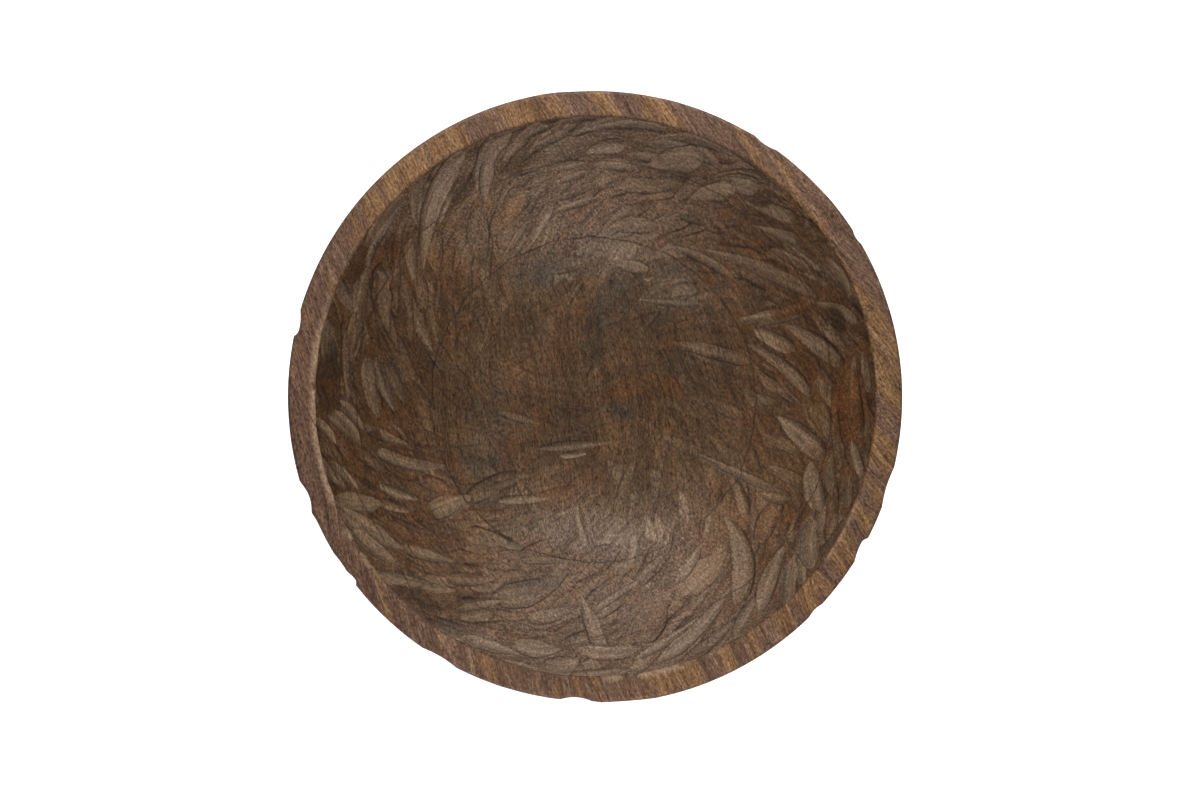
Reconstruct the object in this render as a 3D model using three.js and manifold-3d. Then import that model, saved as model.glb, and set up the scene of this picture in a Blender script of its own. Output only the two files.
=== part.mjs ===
// Carved wooden bowl, glued up from three layers of edge-joined boards, turned
// and hollowed, then cut with a gouge where the outside wall meets the rim.
//
// Frame: millimetres, +Z up, origin at the centre of the flat underside.
// Left is -X and front is -Y. The joints between boards run along Y.

import * as THREE from 'three';
import { mergeVertices } from 'three/addons/utils/BufferGeometryUtils.js';
import Module from 'manifold-3d';

const wasm = await Module();
wasm.setup();

// ---- driving dimensions -------------------------------------------------

const RIM_OUTER_R = 165;
const RIM_WIDTH = 14.4; // outer edge of the rim to the mouth of the hollow
const HOLLOW_R = RIM_OUTER_R - RIM_WIDTH;
const LAYER_T = 25; // thickness of each board layer
const LAYER_COUNT = 3;
const HEIGHT = LAYER_COUNT * LAYER_T;
const FLOOR_T = 10; // wood left under the middle of the hollow
const FOOT_R = 72.5; // flat face the bowl stands on
const SEGMENTS = 96; // facets round the turned form

// ---- solid helpers ------------------------------------------------------

// Closed solid from a geometry: shared vertices merged, collapsed triangles dropped.
function toSolid(geometry) {
  geometry.deleteAttribute('normal');
  geometry.deleteAttribute('uv');
  const merged = mergeVertices(geometry, 1e-4);
  const index = merged.index.array;
  const triangles = [];
  for (let i = 0; i < index.length; i += 3) {
    const [a, b, c] = index.slice(i, i + 3);
    if (a !== b && b !== c && a !== c) triangles.push(a, b, c);
  }
  return new wasm.Manifold(new wasm.Mesh({
    numProp: 3,
    vertProperties: Float32Array.from(merged.attributes.position.array),
    triVerts: Uint32Array.from(triangles),
  }));
}

// The solids carry positions only, so each vertex is three numbers.
function toGeometry(solid) {
  const { vertProperties, triVerts } = solid.getMesh();
  const geometry = new THREE.BufferGeometry();
  geometry.setAttribute(
    'position',
    new THREE.BufferAttribute(Float32Array.from(vertProperties), 3),
  );
  geometry.setIndex(new THREE.BufferAttribute(Uint32Array.from(triVerts), 1));
  geometry.computeVertexNormals();
  return geometry;
}

// Box between two limits on each axis.
function boxSolid([x0, x1], [y0, y1], [z0, z1]) {
  const geometry = new THREE.BoxGeometry(x1 - x0, y1 - y0, z1 - z0);
  geometry.translate((x0 + x1) / 2, (y0 + y1) / 2, (z0 + z1) / 2);
  return toSolid(geometry);
}

// ---- turned form --------------------------------------------------------

// Outside wall: a power curve from the underside to the rim. Its radius at
// z = 0 lies inside the foot, but the first ring used is already outside it.
const WALL_START_R = 70;
const WALL_POWER = 2.2;
const WALL_HEIGHTS = [1.5, 4, 8, 13, 19, 25, 33, 41, 50, 59, 67];

// Rim edges: each is rounded by one point between the wall and the flat top.
const RIM_OUTER_ROUND = 2.2;
const RIM_OUTER_ROUND_MID = 0.65; // inset and drop of the middle point
const RIM_INNER_ROUND = 1.2;
const RIM_INNER_ROUND_MID = 0.35;
const RIM_SHOULDER = { inset: 0.35, drop: 1.6 }; // wall point below the outer round

// Hollow: height above the floor blends two powers of the radius, for a broad
// shallow floor and a wall that steepens to the rim.
const HOLLOW_LOW_POWER = 2.5;
const HOLLOW_HIGH_POWER = 8;
const HOLLOW_HIGH_SHARE = 0.18;
const HOLLOW_RADII = [149.7, 145, 138, 129.5, 120, 106, 90.3, 72, 50, 25];

function wallRadius(z) {
  return WALL_START_R + (RIM_OUTER_R - WALL_START_R) * (z / HEIGHT) ** (1 / WALL_POWER);
}

function hollowHeight(radius) {
  const share = radius / HOLLOW_R;
  const rise = (1 - HOLLOW_HIGH_SHARE) * share ** HOLLOW_LOW_POWER
    + HOLLOW_HIGH_SHARE * share ** HOLLOW_HIGH_POWER;
  return FLOOR_T + (HEIGHT - FLOOR_T) * rise;
}

function turnedForm() {
  // [radius, height], from the middle of the underside to the middle of the floor
  const profile = [
    [0, 0],
    [FOOT_R, 0],
    ...WALL_HEIGHTS.map((z) => [wallRadius(z), z]),
    [RIM_OUTER_R - RIM_SHOULDER.inset, HEIGHT - RIM_OUTER_ROUND - RIM_SHOULDER.drop],
    [RIM_OUTER_R, HEIGHT - RIM_OUTER_ROUND],
    [RIM_OUTER_R - RIM_OUTER_ROUND_MID, HEIGHT - RIM_OUTER_ROUND_MID],
    [RIM_OUTER_R - RIM_OUTER_ROUND, HEIGHT],
    [HOLLOW_R + RIM_INNER_ROUND, HEIGHT],
    [HOLLOW_R + RIM_INNER_ROUND_MID, HEIGHT - RIM_INNER_ROUND_MID],
    ...HOLLOW_RADII.map((radius) => [radius, hollowHeight(radius)]),
    [0, FLOOR_T],
  ].map(([radius, z]) => new THREE.Vector2(radius, z));
  const geometry = new THREE.LatheGeometry(profile, SEGMENTS);

  // The lathe turns about Y; exchanging coordinates stands the form up on +Z
  // with no rounding.
  const points = geometry.attributes.position;
  for (let i = 0; i < points.count; i++) {
    points.setXYZ(i, points.getX(i), -points.getZ(i), points.getY(i));
  }
  return toSolid(geometry);
}

// ---- gouge cuts at the outer edge of the rim ----------------------------

// Ellipsoid scoop that lies against the outside wall.
const SCOOP = {
  halfThickness: 9, // radially, before tilting
  halfLength: 34, // up the wall, before tilting
  widthFactor: 1.9, // half width of the scoop over the cut's own half width
  inset: 4.2, // extra shift towards the bowl's axis
  drop: 12, // scoop's middle below the rim top
  tilt: 28, // degrees the top tips outward
  segmentsAround: 18,
  segmentsPoleToPole: 12,
};

// at: degrees round the bowl from +X towards +Y
// depth: nominal depth into the edge
// halfWidth: nominal half width round the rim
// lean: degrees the top leans round the rim, clockwise seen from above
const RIM_CUTS = [
  { at: 27, depth: 1.3, halfWidth: 8, lean: 24 },
  { at: 45, depth: 0.7, halfWidth: 18, lean: 24 },
  { at: 137.5, depth: 1.8, halfWidth: 6, lean: 30 },
  { at: 169.5, depth: 1.7, halfWidth: 9, lean: 28 },
  { at: 185.5, depth: 2.5, halfWidth: 12, lean: 28 },
  { at: 198, depth: 1.3, halfWidth: 16, lean: 26 },
  { at: 209, depth: 2.3, halfWidth: 10, lean: 26 },
  { at: 222, depth: 1.3, halfWidth: 18, lean: 24 },
  { at: 236.5, depth: 2.9, halfWidth: 11, lean: 28 },
  { at: 285, depth: 0.8, halfWidth: 7, lean: 26 },
  { at: 300, depth: 1.9, halfWidth: 6, lean: 30 },
  { at: 312.5, depth: 1.2, halfWidth: 7, lean: 26 },
];

function scoop({ at, depth, halfWidth, lean }) {
  const { degToRad } = THREE.MathUtils;
  const geometry = new THREE.SphereGeometry(1, SCOOP.segmentsAround, SCOOP.segmentsPoleToPole);
  geometry.scale(SCOOP.halfThickness, halfWidth * SCOOP.widthFactor, SCOOP.halfLength);

  const middleR = RIM_OUTER_R - depth + SCOOP.halfThickness - SCOOP.inset;
  const placement = new THREE.Matrix4()
    .makeRotationZ(degToRad(at))
    .multiply(new THREE.Matrix4().makeTranslation(middleR, 0, HEIGHT - SCOOP.drop))
    .multiply(new THREE.Matrix4().makeRotationY(degToRad(SCOOP.tilt)))
    .multiply(new THREE.Matrix4().makeRotationX(degToRad(lean)));
  geometry.applyMatrix4(placement);
  return toSolid(geometry);
}

// ---- boards -------------------------------------------------------------

const FAR = RIM_OUTER_R + 15; // clear of the bowl sideways
const LAYER_CLEARANCE = 5; // past the underside and the rim top
const SPLIT_CLEARANCE = 10; // the same, for the box that splits a board

// Layers from the bottom up. Joints are x positions; bay counts the spaces
// between them from the left. The hollow is wider than the rim's centre board,
// which is left as two pieces, one on each side of y = 0.
const LAYERS = [
  {
    joints: [-62, 46],
    boards: [
      { name: 'base_board_left', bay: 0, color: 0x6b503b },
      { name: 'base_board_centre', bay: 1, color: 0x745841 },
      { name: 'base_board_right', bay: 2, color: 0x67503f },
    ],
  },
  {
    joints: [-112, -8, 98],
    boards: [
      { name: 'middle_board_far_left', bay: 0, color: 0x5e4a3a },
      { name: 'middle_board_left', bay: 1, color: 0x6a5443 },
      { name: 'middle_board_right', bay: 2, color: 0x70563e },
      { name: 'middle_board_far_right', bay: 3, color: 0x634d3b },
    ],
  },
  {
    joints: [-138, -79, 51.5],
    boards: [
      { name: 'rim_board_far_left', bay: 0, color: 0x644c39 },
      { name: 'rim_board_left', bay: 1, color: 0x6e5641 },
      { name: 'rim_board_centre_front', bay: 2, color: 0x7c6049, ySpan: [-FAR, 0] },
      { name: 'rim_board_centre_back', bay: 2, color: 0x85633f, ySpan: [0, FAR] },
      { name: 'rim_board_right', bay: 3, color: 0x6e5a48 },
    ],
  },
];

function layerSpan(level) {
  const below = level === 0 ? LAYER_CLEARANCE : 0;
  const above = level === LAYER_COUNT - 1 ? LAYER_CLEARANCE : 0;
  return [level * LAYER_T - below, (level + 1) * LAYER_T + above];
}

function boardSolid(bowl, level, joints, { bay, ySpan }) {
  const edges = [-FAR, ...joints, FAR];
  const xSpan = [edges[bay], edges[bay + 1]];
  const whole = bowl.intersect(boxSolid(xSpan, [-FAR, FAR], layerSpan(level)));
  if (!ySpan) return whole;
  const splitHeights = [-SPLIT_CLEARANCE, HEIGHT + SPLIT_CLEARANCE];
  return whole.intersect(boxSolid([-FAR, FAR], ySpan, splitHeights));
}

function woodMaterial(color) {
  return new THREE.MeshStandardMaterial({ color, roughness: 0.48, metalness: 0 });
}

// ---- assembly -----------------------------------------------------------

let bowl = turnedForm();
for (const cut of RIM_CUTS) bowl = bowl.subtract(scoop(cut));

const group = new THREE.Group();
LAYERS.forEach(({ joints, boards }, level) => {
  for (const board of boards) {
    const solid = boardSolid(bowl, level, joints, board);
    const mesh = new THREE.Mesh(toGeometry(solid), woodMaterial(board.color));
    mesh.name = board.name;
    group.add(mesh);
  }
});

export default group;
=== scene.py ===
"""Carved wooden bowl: a turned form carved with gouge cuts, glued up from three layers of boards.

The bowl stands on z = 0 round the Z axis with its hollow up; +X is right and +Y is back.
Shapes are worked out in millimetres with numpy and handed to Blender in metres. One closed
skin is carved, then cut into a piece for each board of the CAD model.
"""
import math
from types import SimpleNamespace
from typing import NamedTuple

import bpy
import numpy as np
from mathutils import Matrix, Vector


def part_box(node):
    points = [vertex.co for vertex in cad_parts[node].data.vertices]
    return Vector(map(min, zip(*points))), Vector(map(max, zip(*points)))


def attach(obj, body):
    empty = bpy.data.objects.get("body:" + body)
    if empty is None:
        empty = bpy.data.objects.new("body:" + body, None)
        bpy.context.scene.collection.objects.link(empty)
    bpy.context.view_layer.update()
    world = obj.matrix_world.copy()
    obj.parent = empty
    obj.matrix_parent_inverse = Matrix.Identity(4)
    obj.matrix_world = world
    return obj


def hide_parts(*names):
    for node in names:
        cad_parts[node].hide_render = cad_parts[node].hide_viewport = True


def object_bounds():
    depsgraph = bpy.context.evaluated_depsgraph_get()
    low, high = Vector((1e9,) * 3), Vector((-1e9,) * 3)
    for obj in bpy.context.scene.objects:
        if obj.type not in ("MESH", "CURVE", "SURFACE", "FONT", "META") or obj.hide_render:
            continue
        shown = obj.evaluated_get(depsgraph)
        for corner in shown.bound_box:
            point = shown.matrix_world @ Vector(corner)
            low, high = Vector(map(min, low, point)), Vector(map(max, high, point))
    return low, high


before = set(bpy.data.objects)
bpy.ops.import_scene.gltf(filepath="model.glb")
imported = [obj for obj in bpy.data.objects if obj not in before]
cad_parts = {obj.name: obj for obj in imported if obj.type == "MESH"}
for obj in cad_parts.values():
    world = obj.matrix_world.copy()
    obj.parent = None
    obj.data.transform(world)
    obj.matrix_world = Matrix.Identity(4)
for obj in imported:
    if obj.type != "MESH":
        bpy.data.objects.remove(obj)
CAD_BOX = [list(corner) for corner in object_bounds()]

# ------------------------------------------------------------------ sizes, mm
MM = 1000.0                                        # millimetres in a metre
TURN = 2 * math.pi
HEIGHT = CAD_BOX[1][2] * MM
RIM_R = CAD_BOX[1][0] * MM
LOW_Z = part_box("middle_board_left")[0].z * MM      # glue line between base and middle
HIGH_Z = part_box("rim_board_left")[0].z * MM        # glue line between middle and rim
RIM_W = 14.4
RIM_ROUND = 2.2                                    # rounding of the rim's outer edge
HOLLOW_R = RIM_R - RIM_W
FLOOR_T = 10.0
FOOT_R = 74.0
FOOT_ROUND = 1.5
JOINT_GAP = 0.02                                   # each glued face stands this far back

CAM_DIST = 1200.0                                  # camera above the rim
CAM_XY = np.array([-56.0, -36.0])
VIEW_WIDTH = 637.483                               # width seen at the rim

HOLLOW_STEP = 0.53               # spacing of points, part by part
RIM_STEP = 0.55
WALL_STEP = 0.85
FOOT_EDGE_STEP = 1.2
FOOT_STEP = 2.2
RNG = np.random.default_rng(20240611)


# ------------------------------------------------------------------ profile
def smooth(start, end, x):
    t = np.clip((x - start) / (end - start), 0.0, 1.0)
    return t * t * (3.0 - 2.0 * t)


def band(start, full, fade, end, x):
    """Rises from start to full, falls from fade to end."""
    return smooth(start, full, x) * (1 - smooth(fade, end, x))


def hollow_z(r):
    u = np.clip(np.asarray(r, float) / HOLLOW_R, 0, 1)
    return FLOOR_T + (HEIGHT - FLOOR_T) * (0.82 * u ** 2.5 + 0.18 * u ** 8)


def hollow_slope(r):
    u = np.clip(np.asarray(r, float) / HOLLOW_R, 0, 1)
    return (HEIGHT - FLOOR_T) / HOLLOW_R * (0.82 * 2.5 * u ** 1.5 + 0.18 * 8 * u ** 7)


def outside_r(z):
    inset = 4
    rise = (np.asarray(z, float) / HEIGHT) ** (1 / 2.2)
    return (FOOT_R - inset) + (RIM_R - FOOT_R + inset) * rise


# the outside wall from the rim's edge down: height, radius, distance down the wall
UPPER_Z = 67                                       # above this the wall runs straight up to the rim
wall_z = np.linspace(HEIGHT - RIM_ROUND, FOOT_ROUND, 600)
wall_r = np.where(
    wall_z > UPPER_Z,
    np.interp(wall_z, [UPPER_Z, 71.2, 72.8], [float(outside_r(UPPER_Z)), 164.65, RIM_R]),
    np.maximum(outside_r(wall_z), FOOT_R))
wall_down = np.concatenate([[0], np.cumsum(np.hypot(np.diff(wall_z), np.diff(wall_r)))])


# ------------------------------------------------------------------ noise and blurs
def lattice(ix, iy, seed):
    """A fixed random value, 0 to 1, for each whole-number point."""
    h = ix.astype(np.int64) * 374761393 + iy.astype(np.int64) * 668265263 + int(seed) * 974711
    h = h & 0xFFFFFFFF
    h = ((h ^ (h >> 13)) * 1274126177) & 0xFFFFFFFF
    return ((h ^ (h >> 16)) & 0xFFFFFF) / float(0xFFFFFF)


def vnoise(x, y, seed=0):
    """Smooth lattice noise, 0 to 1."""
    x, y = np.asarray(x, float), np.asarray(y, float)
    ix, iy = np.floor(x), np.floor(y)
    fx, fy = x - ix, y - iy
    fx, fy = fx * fx * (3 - 2 * fx), fy * fy * (3 - 2 * fy)
    a, b = lattice(ix, iy, seed), lattice(ix + 1, iy, seed)
    c, d = lattice(ix, iy + 1, seed), lattice(ix + 1, iy + 1, seed)
    return (a * (1 - fx) + b * fx) * (1 - fy) + (c * (1 - fx) + d * fx) * fy


def fbm(x, y, seed=0, octaves=3):
    """Octaves of lattice noise, 0 to 1."""
    total, weight, amp = 0.0, 0.0, 1.0
    for k in range(octaves):
        total = total + amp * vnoise(x * 2 ** k, y * 2 ** k, seed + 17 * k)
        weight += amp
        amp *= 0.5
    return total / weight


def blur(a, passes=1, wrap=False):
    """Passes of a 1-2-1 kernel both ways."""
    for _ in range(passes):
        p = np.pad(a, ((1, 1), (0, 0)), mode="edge")
        a = (p[:-2] + 2 * p[1:-1] + p[2:]) / 4
        p = np.pad(a, ((0, 0), (1, 1)), mode="wrap" if wrap else "edge")
        a = (p[:, :-2] + 2 * p[:, 1:-1] + p[:, 2:]) / 4
    return a


def box_blur(a, half, wrap=False):
    """Fast wide blur, three box passes of a half width in cells."""
    n = 2 * half + 1
    for _ in range(3):
        for axis in (0, 1):
            pads = [(0, 0), (0, 0)]
            pads[axis] = (half + 1, half)
            p = np.pad(a, pads, mode="wrap" if (wrap and axis == 1) else "edge")
            c = np.cumsum(p, axis=axis)
            a = (c[n:] - c[:-n]) / n if axis == 0 else (c[:, n:] - c[:, :-n]) / n
    return a


def bilinear(sheet, row, column):
    """Values of a map between its cells; columns wrap round."""
    i, j = row.astype(int), column.astype(int)
    ti, tj = row - i, column - j
    after = (j + 1) % sheet.shape[1]
    j = j % sheet.shape[1]
    return ((sheet[i, j] * (1 - tj) + sheet[i, after] * tj) * (1 - ti)
            + (sheet[i + 1, j] * (1 - tj) + sheet[i + 1, after] * tj) * ti)


# ------------------------------------------------------------------ cuts: tables
class Cut(NamedTuple):
    """One gouge cut, mm."""
    x0: float
    y0: float
    x1: float
    y1: float
    bow: float          # middle stands this far to the left of the straight line
    width: float
    depth: float
    pale: float         # how much wash lies on it, 0 to 1
    side: int           # steep dark side: +1 left, -1 right, 0 none
    warm: float         # bare wood +1, cool stain -1


# The hollow's tables are laid out in the rim's plane as seen from the camera (see seen_to_plan).
# Columns as in Cut.
STROKES = [
    # back left
    (-89, 124, -91, 104, 0, 6.5, .75, .85, 1, 0), (-34, 144, -92, 99, -7, 6.8, .75, .85, 1, 0),
    (-86, 103, -106, 80, -1, 6, .5, .45, 1, .3), (-104, 106, -118, 82, -1.5, 4.5, .6, .75, 1, 0),
    (-107, 99, -118, 70, -1, 4.5, .5, .65, 1, 0), (-67, 118, -66, 107, 0, 4.2, .4, .6, 1, 0),
    (-62, 118, -79, 84, -3, 9, .5, .45, -1, 0), (-96, 78, -107, 46, -2, 7, .6, .75, 1, 0),
    (-92, 76, -98, 45, -1, 6, .6, .65, 1, 0), (-88, 72, -91, 46, 0, 6, .55, .6, 1, 0),
    (-121, 66, -117, 45, 1, 6, .5, .75, -1, 0), (-128, 64, -122, 39, 1.5, 7, .6, .8, -1, 0),
    (-136, 64, -133, 46, 1, 5, .5, .55, -1, 0), (-110, 96, -126, 76, -1, 5, .4, .5, 1, 0),
    (-118, 70, -128, 52, 0, 5, .4, .5, 1, 0), (-78, 112, -92, 92, -1, 5, .4, .5, 1, 0),
    (-99, 96, -116, 62, -1, 4, .35, .5, 1, .2), (-108, 82, -121, 58, 0, 4.5, .35, .4, 1, .2),
    # back
    (-22, 151, -38, 127, -1, 7, .85, 1.0, 1, 0), (4, 148, -47, 103, -7, 8, .8, .8, -1, 0),
    (-5, 138, -27, 121, -2, 6, .6, .7, -1, 0), (32, 146, -3, 124, -5, 8, .5, .55, -1, 0),
    (14, 137, 0, 119, -1.5, 6.5, .65, .85, -1, 0), (36, 121, 14, 126, -1, 4, .45, .6, 1, .2),
    (56, 112, 37, 119, 0, 4, .4, .7, -1, 0), (56, 106, 37, 110, 0, 3.5, .35, .6, 1, 0),
    (57, 99, 27, 104, 1, 4, .35, .5, 1, 0), (52, 92, 29, 97, 0, 4, .35, .55, 1, 0),
    (58, 138, 27, 139, -1.5, 5, .5, .55, 1, 0), (48, 145, 22, 146, -.5, 4, .4, .5, 1, 0),
    (58, 130, 38, 132, 0, 4, .4, .5, 1, 0), (57, 88, 28, 79.5, .5, 2.8, .4, 1.0, -1, 0),
    (16, 99, -9, 87, -.5, 3.2, .4, .8, 1, 0), (10, 92, -4, 85, 0, 2.6, .35, .85, 1, 0),
    (-4, 118, -18, 88, -2, 11, .45, .35, 1, -.5), (-50, 105, -56, 85, 0, 7, .4, .5, 1, 0),
    (-8, 147, -24, 141, -1, 4, .4, .6, -1, -.3), (-44, 122, -54, 100, -1, 6, .45, .6, 1, 0),
    (-30, 118, -42, 96, -2, 8, .35, .4, 1, 0), (24, 112, 2, 102, -2, 8, .3, .45, 1, .4),
    # back right
    (82, 127, 50, 137, -2, 4.5, .5, .45, 1, 0), (104, 104, 74, 124, -2, 3.5, .5, .7, 1, 0),
    (97, 112, 62, 127, -3, 6, .5, .5, 1, 0), (80, 108, 60, 116, -1, 7, .5, .6, -1, 0),
    (129, 76, 97, 104, -3, 5, .5, .6, 1, 0), (119, 75, 92, 104, -3, 6, .55, .5, 1, 0),
    (112, 80, 86, 93, -2, 11, .55, .65, -1, 0), (131, 50, 108, 68, -3, 8, .65, .45, -1, 0),
    (119, 57, 96, 66, -2, 9, .5, .7, 1, 0), (139, 58, 125, 88, -1, 4, .4, .5, 1, 0),
    (108, 71, 88, 70, 0, 8, .35, .4, 1, 0), (78, 97, 60, 108, -1, 6, .35, .6, 1, .3),
    (95, 90, 78, 104, -1, 5, .35, .4, 1, 0), (86, 78, 62, 92, -2, 7, .3, .45, 1, 0),
    (100, 50, 82, 66, -2, 8, .35, .4, 1, 0), (72, 62, 50, 74, -2, 8, .3, .6, 1, -.2),
    # right
    (95, 18, 73, 51, -2, 5, .5, .7, 1, .2), (129, -14, 89, 39, -3, 7, .65, .75, 1, 0),
    (145, -22, 118, 37, -7.5, 6.5, .65, .85, 1, 0), (141, 26, 121, 50, -1, 6, .5, .65, -1, 0),
    (123, -16, 84, -2, 2, 8, .5, .75, 1, .1), (104, -33, 90, -11, 0, 7.5, .55, .8, -1, .25),
    (99, -58, 83, -16, -3.3, 7, .55, .7, -1, 0), (122, -54, 106, -17, -2, 8, .55, .6, -1, 0),
    (140, -37, 127, -16, -2, 6, .5, .6, 1, 0), (138, -2, 131, 18, 0, 5, .4, .45, 1, 0),
    (118, 20, 108, 38, -1, 6, .35, .4, 1, 0), (74, 13, 44, 34, .5, 4, .4, .95, 1, 0),
    (81, -27, 48, 5, -1, 7, .3, .5, 1, 0), (110, 2, 96, 24, -1, 6, .4, .35, 1, -.3),
    (132, 0, 120, 22, -1, 5, .4, .45, 1, 0), (148, -40, 146, -12, 0, 4, .35, .4, 1, 0),
    # front right
    (88, -91, 78, -58, -1, 11, .7, .85, -1, 0), (72, -113, 82, -88, 1, 9.5, .65, .85, -1, 0),
    (82, -109, 94, -90, 0, 3.4, .6, 1.0, 1, 0), (101, -109, 107, -88, 0, 4.2, .6, .95, -1, 0),
    (111, -91, 131, -50, 1, 5, .65, .8, -1, 0), (127, -72, 137, -50, .5, 4, .5, .6, -1, 0),
    (86, -119, 96, -105, 0, 4.5, .5, .7, 1, 0), (94, -121, 102, -104, 0, 4, .45, .55, 1, 0),
    (52, -137, 68, -113, 1, 8, .75, 1.0, 1, 0), (57, -136, 90, -121, -1, 5, .5, .35, 1, 0),
    (72, -97, 60, -78, 0, 7, .4, .5, 1, 0), (62, -100, 48, -88, 0, 7, .4, .55, 1, 0),
    (120, -105, 132, -85, 0, 4, .35, .4, 1, 0), (78, -80, 66, -62, 0, 7, .35, .5, 1, 0),
    (66, -124, 80, -108, 1, 5, .45, .55, 1, 0),
    # front
    (58, -93, 28, -51, 0, 4.6, .5, .9, 1, 0), (8, -134, 27, -88, -7.7, 10, .75, .65, -1, 0),
    (18, -143, 47, -120, 1, 7, .7, .95, -1, 0), (32, -148, 49, -127, .5, 5.5, .75, 1.0, 1, 0),
    (-42, -139, 11, -125, -3, 6.5, .6, .7, -1, 0), (-52, -132, -3, -130, -1.5, 4, .45, .55, -1, 0),
    (-50, -120, -21, -108, 0, 26, .5, .12, -1, -.3), (-13, -108, 11, -97, 0, 5.5, .45, .6, -1, 0),
    (-14, -114, 18, -108, 0, 16, .3, .5, 1, .3), (-60, -103, -38, -102, 0, 4, .35, .5, -1, 0),
    (-58, -99, -28, -97, 0, 3.6, .35, .75, -1, 0), (-11, -84, -6, -66, 0, 10, .25, .95, 0, 0),
    (-44, -67, -38, -47, 0, 9, .25, 1.0, 0, 0), (-31, -87, -20, -76, 0, 8, .2, .7, 0, -.4),
    (9, -83, 13, -67, 0, 5, .2, .8, 0, 0), (36, -112, 58, -96, 1, 9, .35, .4, 1, .3),
    (0, -147, 26, -134, 1, 5, .4, .5, 1, 0), (44, -142, 58, -124, 1, 5, .45, .6, 1, 0),
    (-30, -146, 4, -141, -1, 5, .35, .3, -1, -.4), (-34, -99, -6, -92, 0, 6, .3, .5, -1, 0),
    # front left
    (-126, -76, -105, -99, 0, 5, .75, 1.0, -1, 0), (-122, -73, -112, -85, 0, 3.5, .5, .55, 1, 0),
    (-141, -57, -121, -81, -1, 7, .6, .5, 1, -.5), (-122, -62, -98, -70, 0, 4, .4, .7, -1, 0),
    (-102, -66, -52, -65, -10, 12, .5, .4, -1, -.4), (-80, -56, -54, -71, 0, 3.5, .45, .95, -1, 0),
    (-68, -127, -61, -87, -1, 8, .5, .5, 1, 0), (-100, -112, -78, -117, -2, 10, .45, .55, -1, 0),
    (-104, -93, -84, -108, -1, 8, .4, .6, -1, 0), (-92, -84, -66, -92, -2, 7, .35, .5, -1, 0),
    (-118, -96, -96, -114, -1, 6, .4, .45, -1, 0), (-88, -122, -56, -136, -2, 6, .4, .45, -1, 0),
    (-76, -112, -46, -128, -3, 7, .4, .5, -1, 0),
    # left
    (-140, 40, -135, 19, .5, 3.6, .5, .75, -1, 0), (-147, 22, -127, 6, -1, 9, .65, .8, -1, 0),
    (-148, 15, -130, -20, -1, 8, .7, .85, -1, 0), (-147, 2, -136, -26, -1, 6.5, .7, .9, -1, 0),
    (-149, -23, -117, -53, -2, 7.5, .65, .85, 1, 0), (-130, -18, -109, -40, -1, 5.5, .5, .65, -1, 0),
    (-124, 16, -109, -2, -1, 5.5, .45, .65, 1, 0), (-117, -6, -110, -23, 0, 3, .5, .75, -1, 0),
    (-129, 9, -117, -5, 0, 5.5, .45, .6, 1, 0), (-117, 35, -87, 7, -4, 6.8, .7, 1.0, -1, 0),
    (-115, 47, -100, 27, -1, 5.5, .5, .65, -1, 0), (-111, -9, -84, -14, 0, 10, .55, .9, -1, .15),
    (-88, -14, -70, -19, 0, 5, .35, .6, -1, 0), (-92, -16, -50, -20, 4, 9, .35, .4, 1, 0),
    (-74, -23, -48, -36, 0, 5, .4, .85, 1, 0), (-90, -33, -76, -52, 0, 6, .35, .5, 1, 0),
    (-98, -28, -80, -46, 0, 9, .35, .55, 1, 0), (-130, -38, -110, -52, -1, 6, .4, .5, -1, 0),
    (-118, -44, -96, -58, -1, 6, .4, .5, -1, .2), (-126, 40, -118, 20, 0, 6, .35, .35, -1, .2),
    (-104, 8, -92, -6, 0, 7, .3, .3, 1, 0), (-146, 48, -142, 26, 0, 5, .4, .4, -1, 0),
    # floor
    (-50, 18, -33, 0, 0, 4.5, .3, .6, -1, 0), (-42, -9, -2, -28, 0, 5, .35, .65, 1, 0),
    (-33, -19, -20, -25, 0, 3.5, .25, 1.0, 1, 0), (53, 23, 38, 16, 0, 3, .3, .4, 1, 0),
    (25, 57, 10, 49, 0, 3, .3, .45, 1, 0), (-38, -45, -27, -42.5, 0, 2, .3, .3, 1, 0),
    (-18, -56, 2, -40, 1, 5, .22, .45, 1, 0), (34, -58, 18, -34, 0, 6, .22, .4, 1, 0),
    (62, -50, 48, -30, 0, 7, .25, .4, 1, 0), (58, 44, 42, 58, 0, 6, .25, .75, 1, -.2),
    (30, 66, 6, 72, 0, 7, .2, .35, 1, -.2), (-58, -40, -60, -18, 0, 6, .25, .5, 1, 0),
]

# broad shallow hollowing cuts under the finer ones; columns as in Cut
BROAD = [
    (70, -38, 38, 8, 2, 17, .34, .3, 1, 0), (48, -60, 10, -10, 3, 19, .3, .3, 1, 0),
    (20, -72, -20, -30, 3, 21, .3, .35, 1, 0), (-20, -72, -58, -40, 3, 19, .32, .45, 1, 0),
    (-60, -50, -70, 0, 4, 19, .3, .35, 1, 0), (-72, 0, -50, 45, 3, 19, .3, .2, 1, 0),
    (-55, 50, -10, 70, 3, 19, .28, .2, 1, -.2), (0, 70, 50, 55, 3, 21, .3, .35, 1, -.2),
    (55, 50, 72, 5, 3, 19, .34, .45, 1, -.2), (10, -5, -30, 25, 2, 23, .24, .12, 1, 0),
    (40, 5, 0, 45, 2, 25, .26, .15, 1, -.1), (-10, -15, -42, 12, 1, 16, .22, .12, 1, .2),
    (30, -30, 5, 2, 1, 15, .22, .15, 1, .2), (-5, 20, -30, 52, 2, 18, .22, .12, 1, 0),
]

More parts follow.
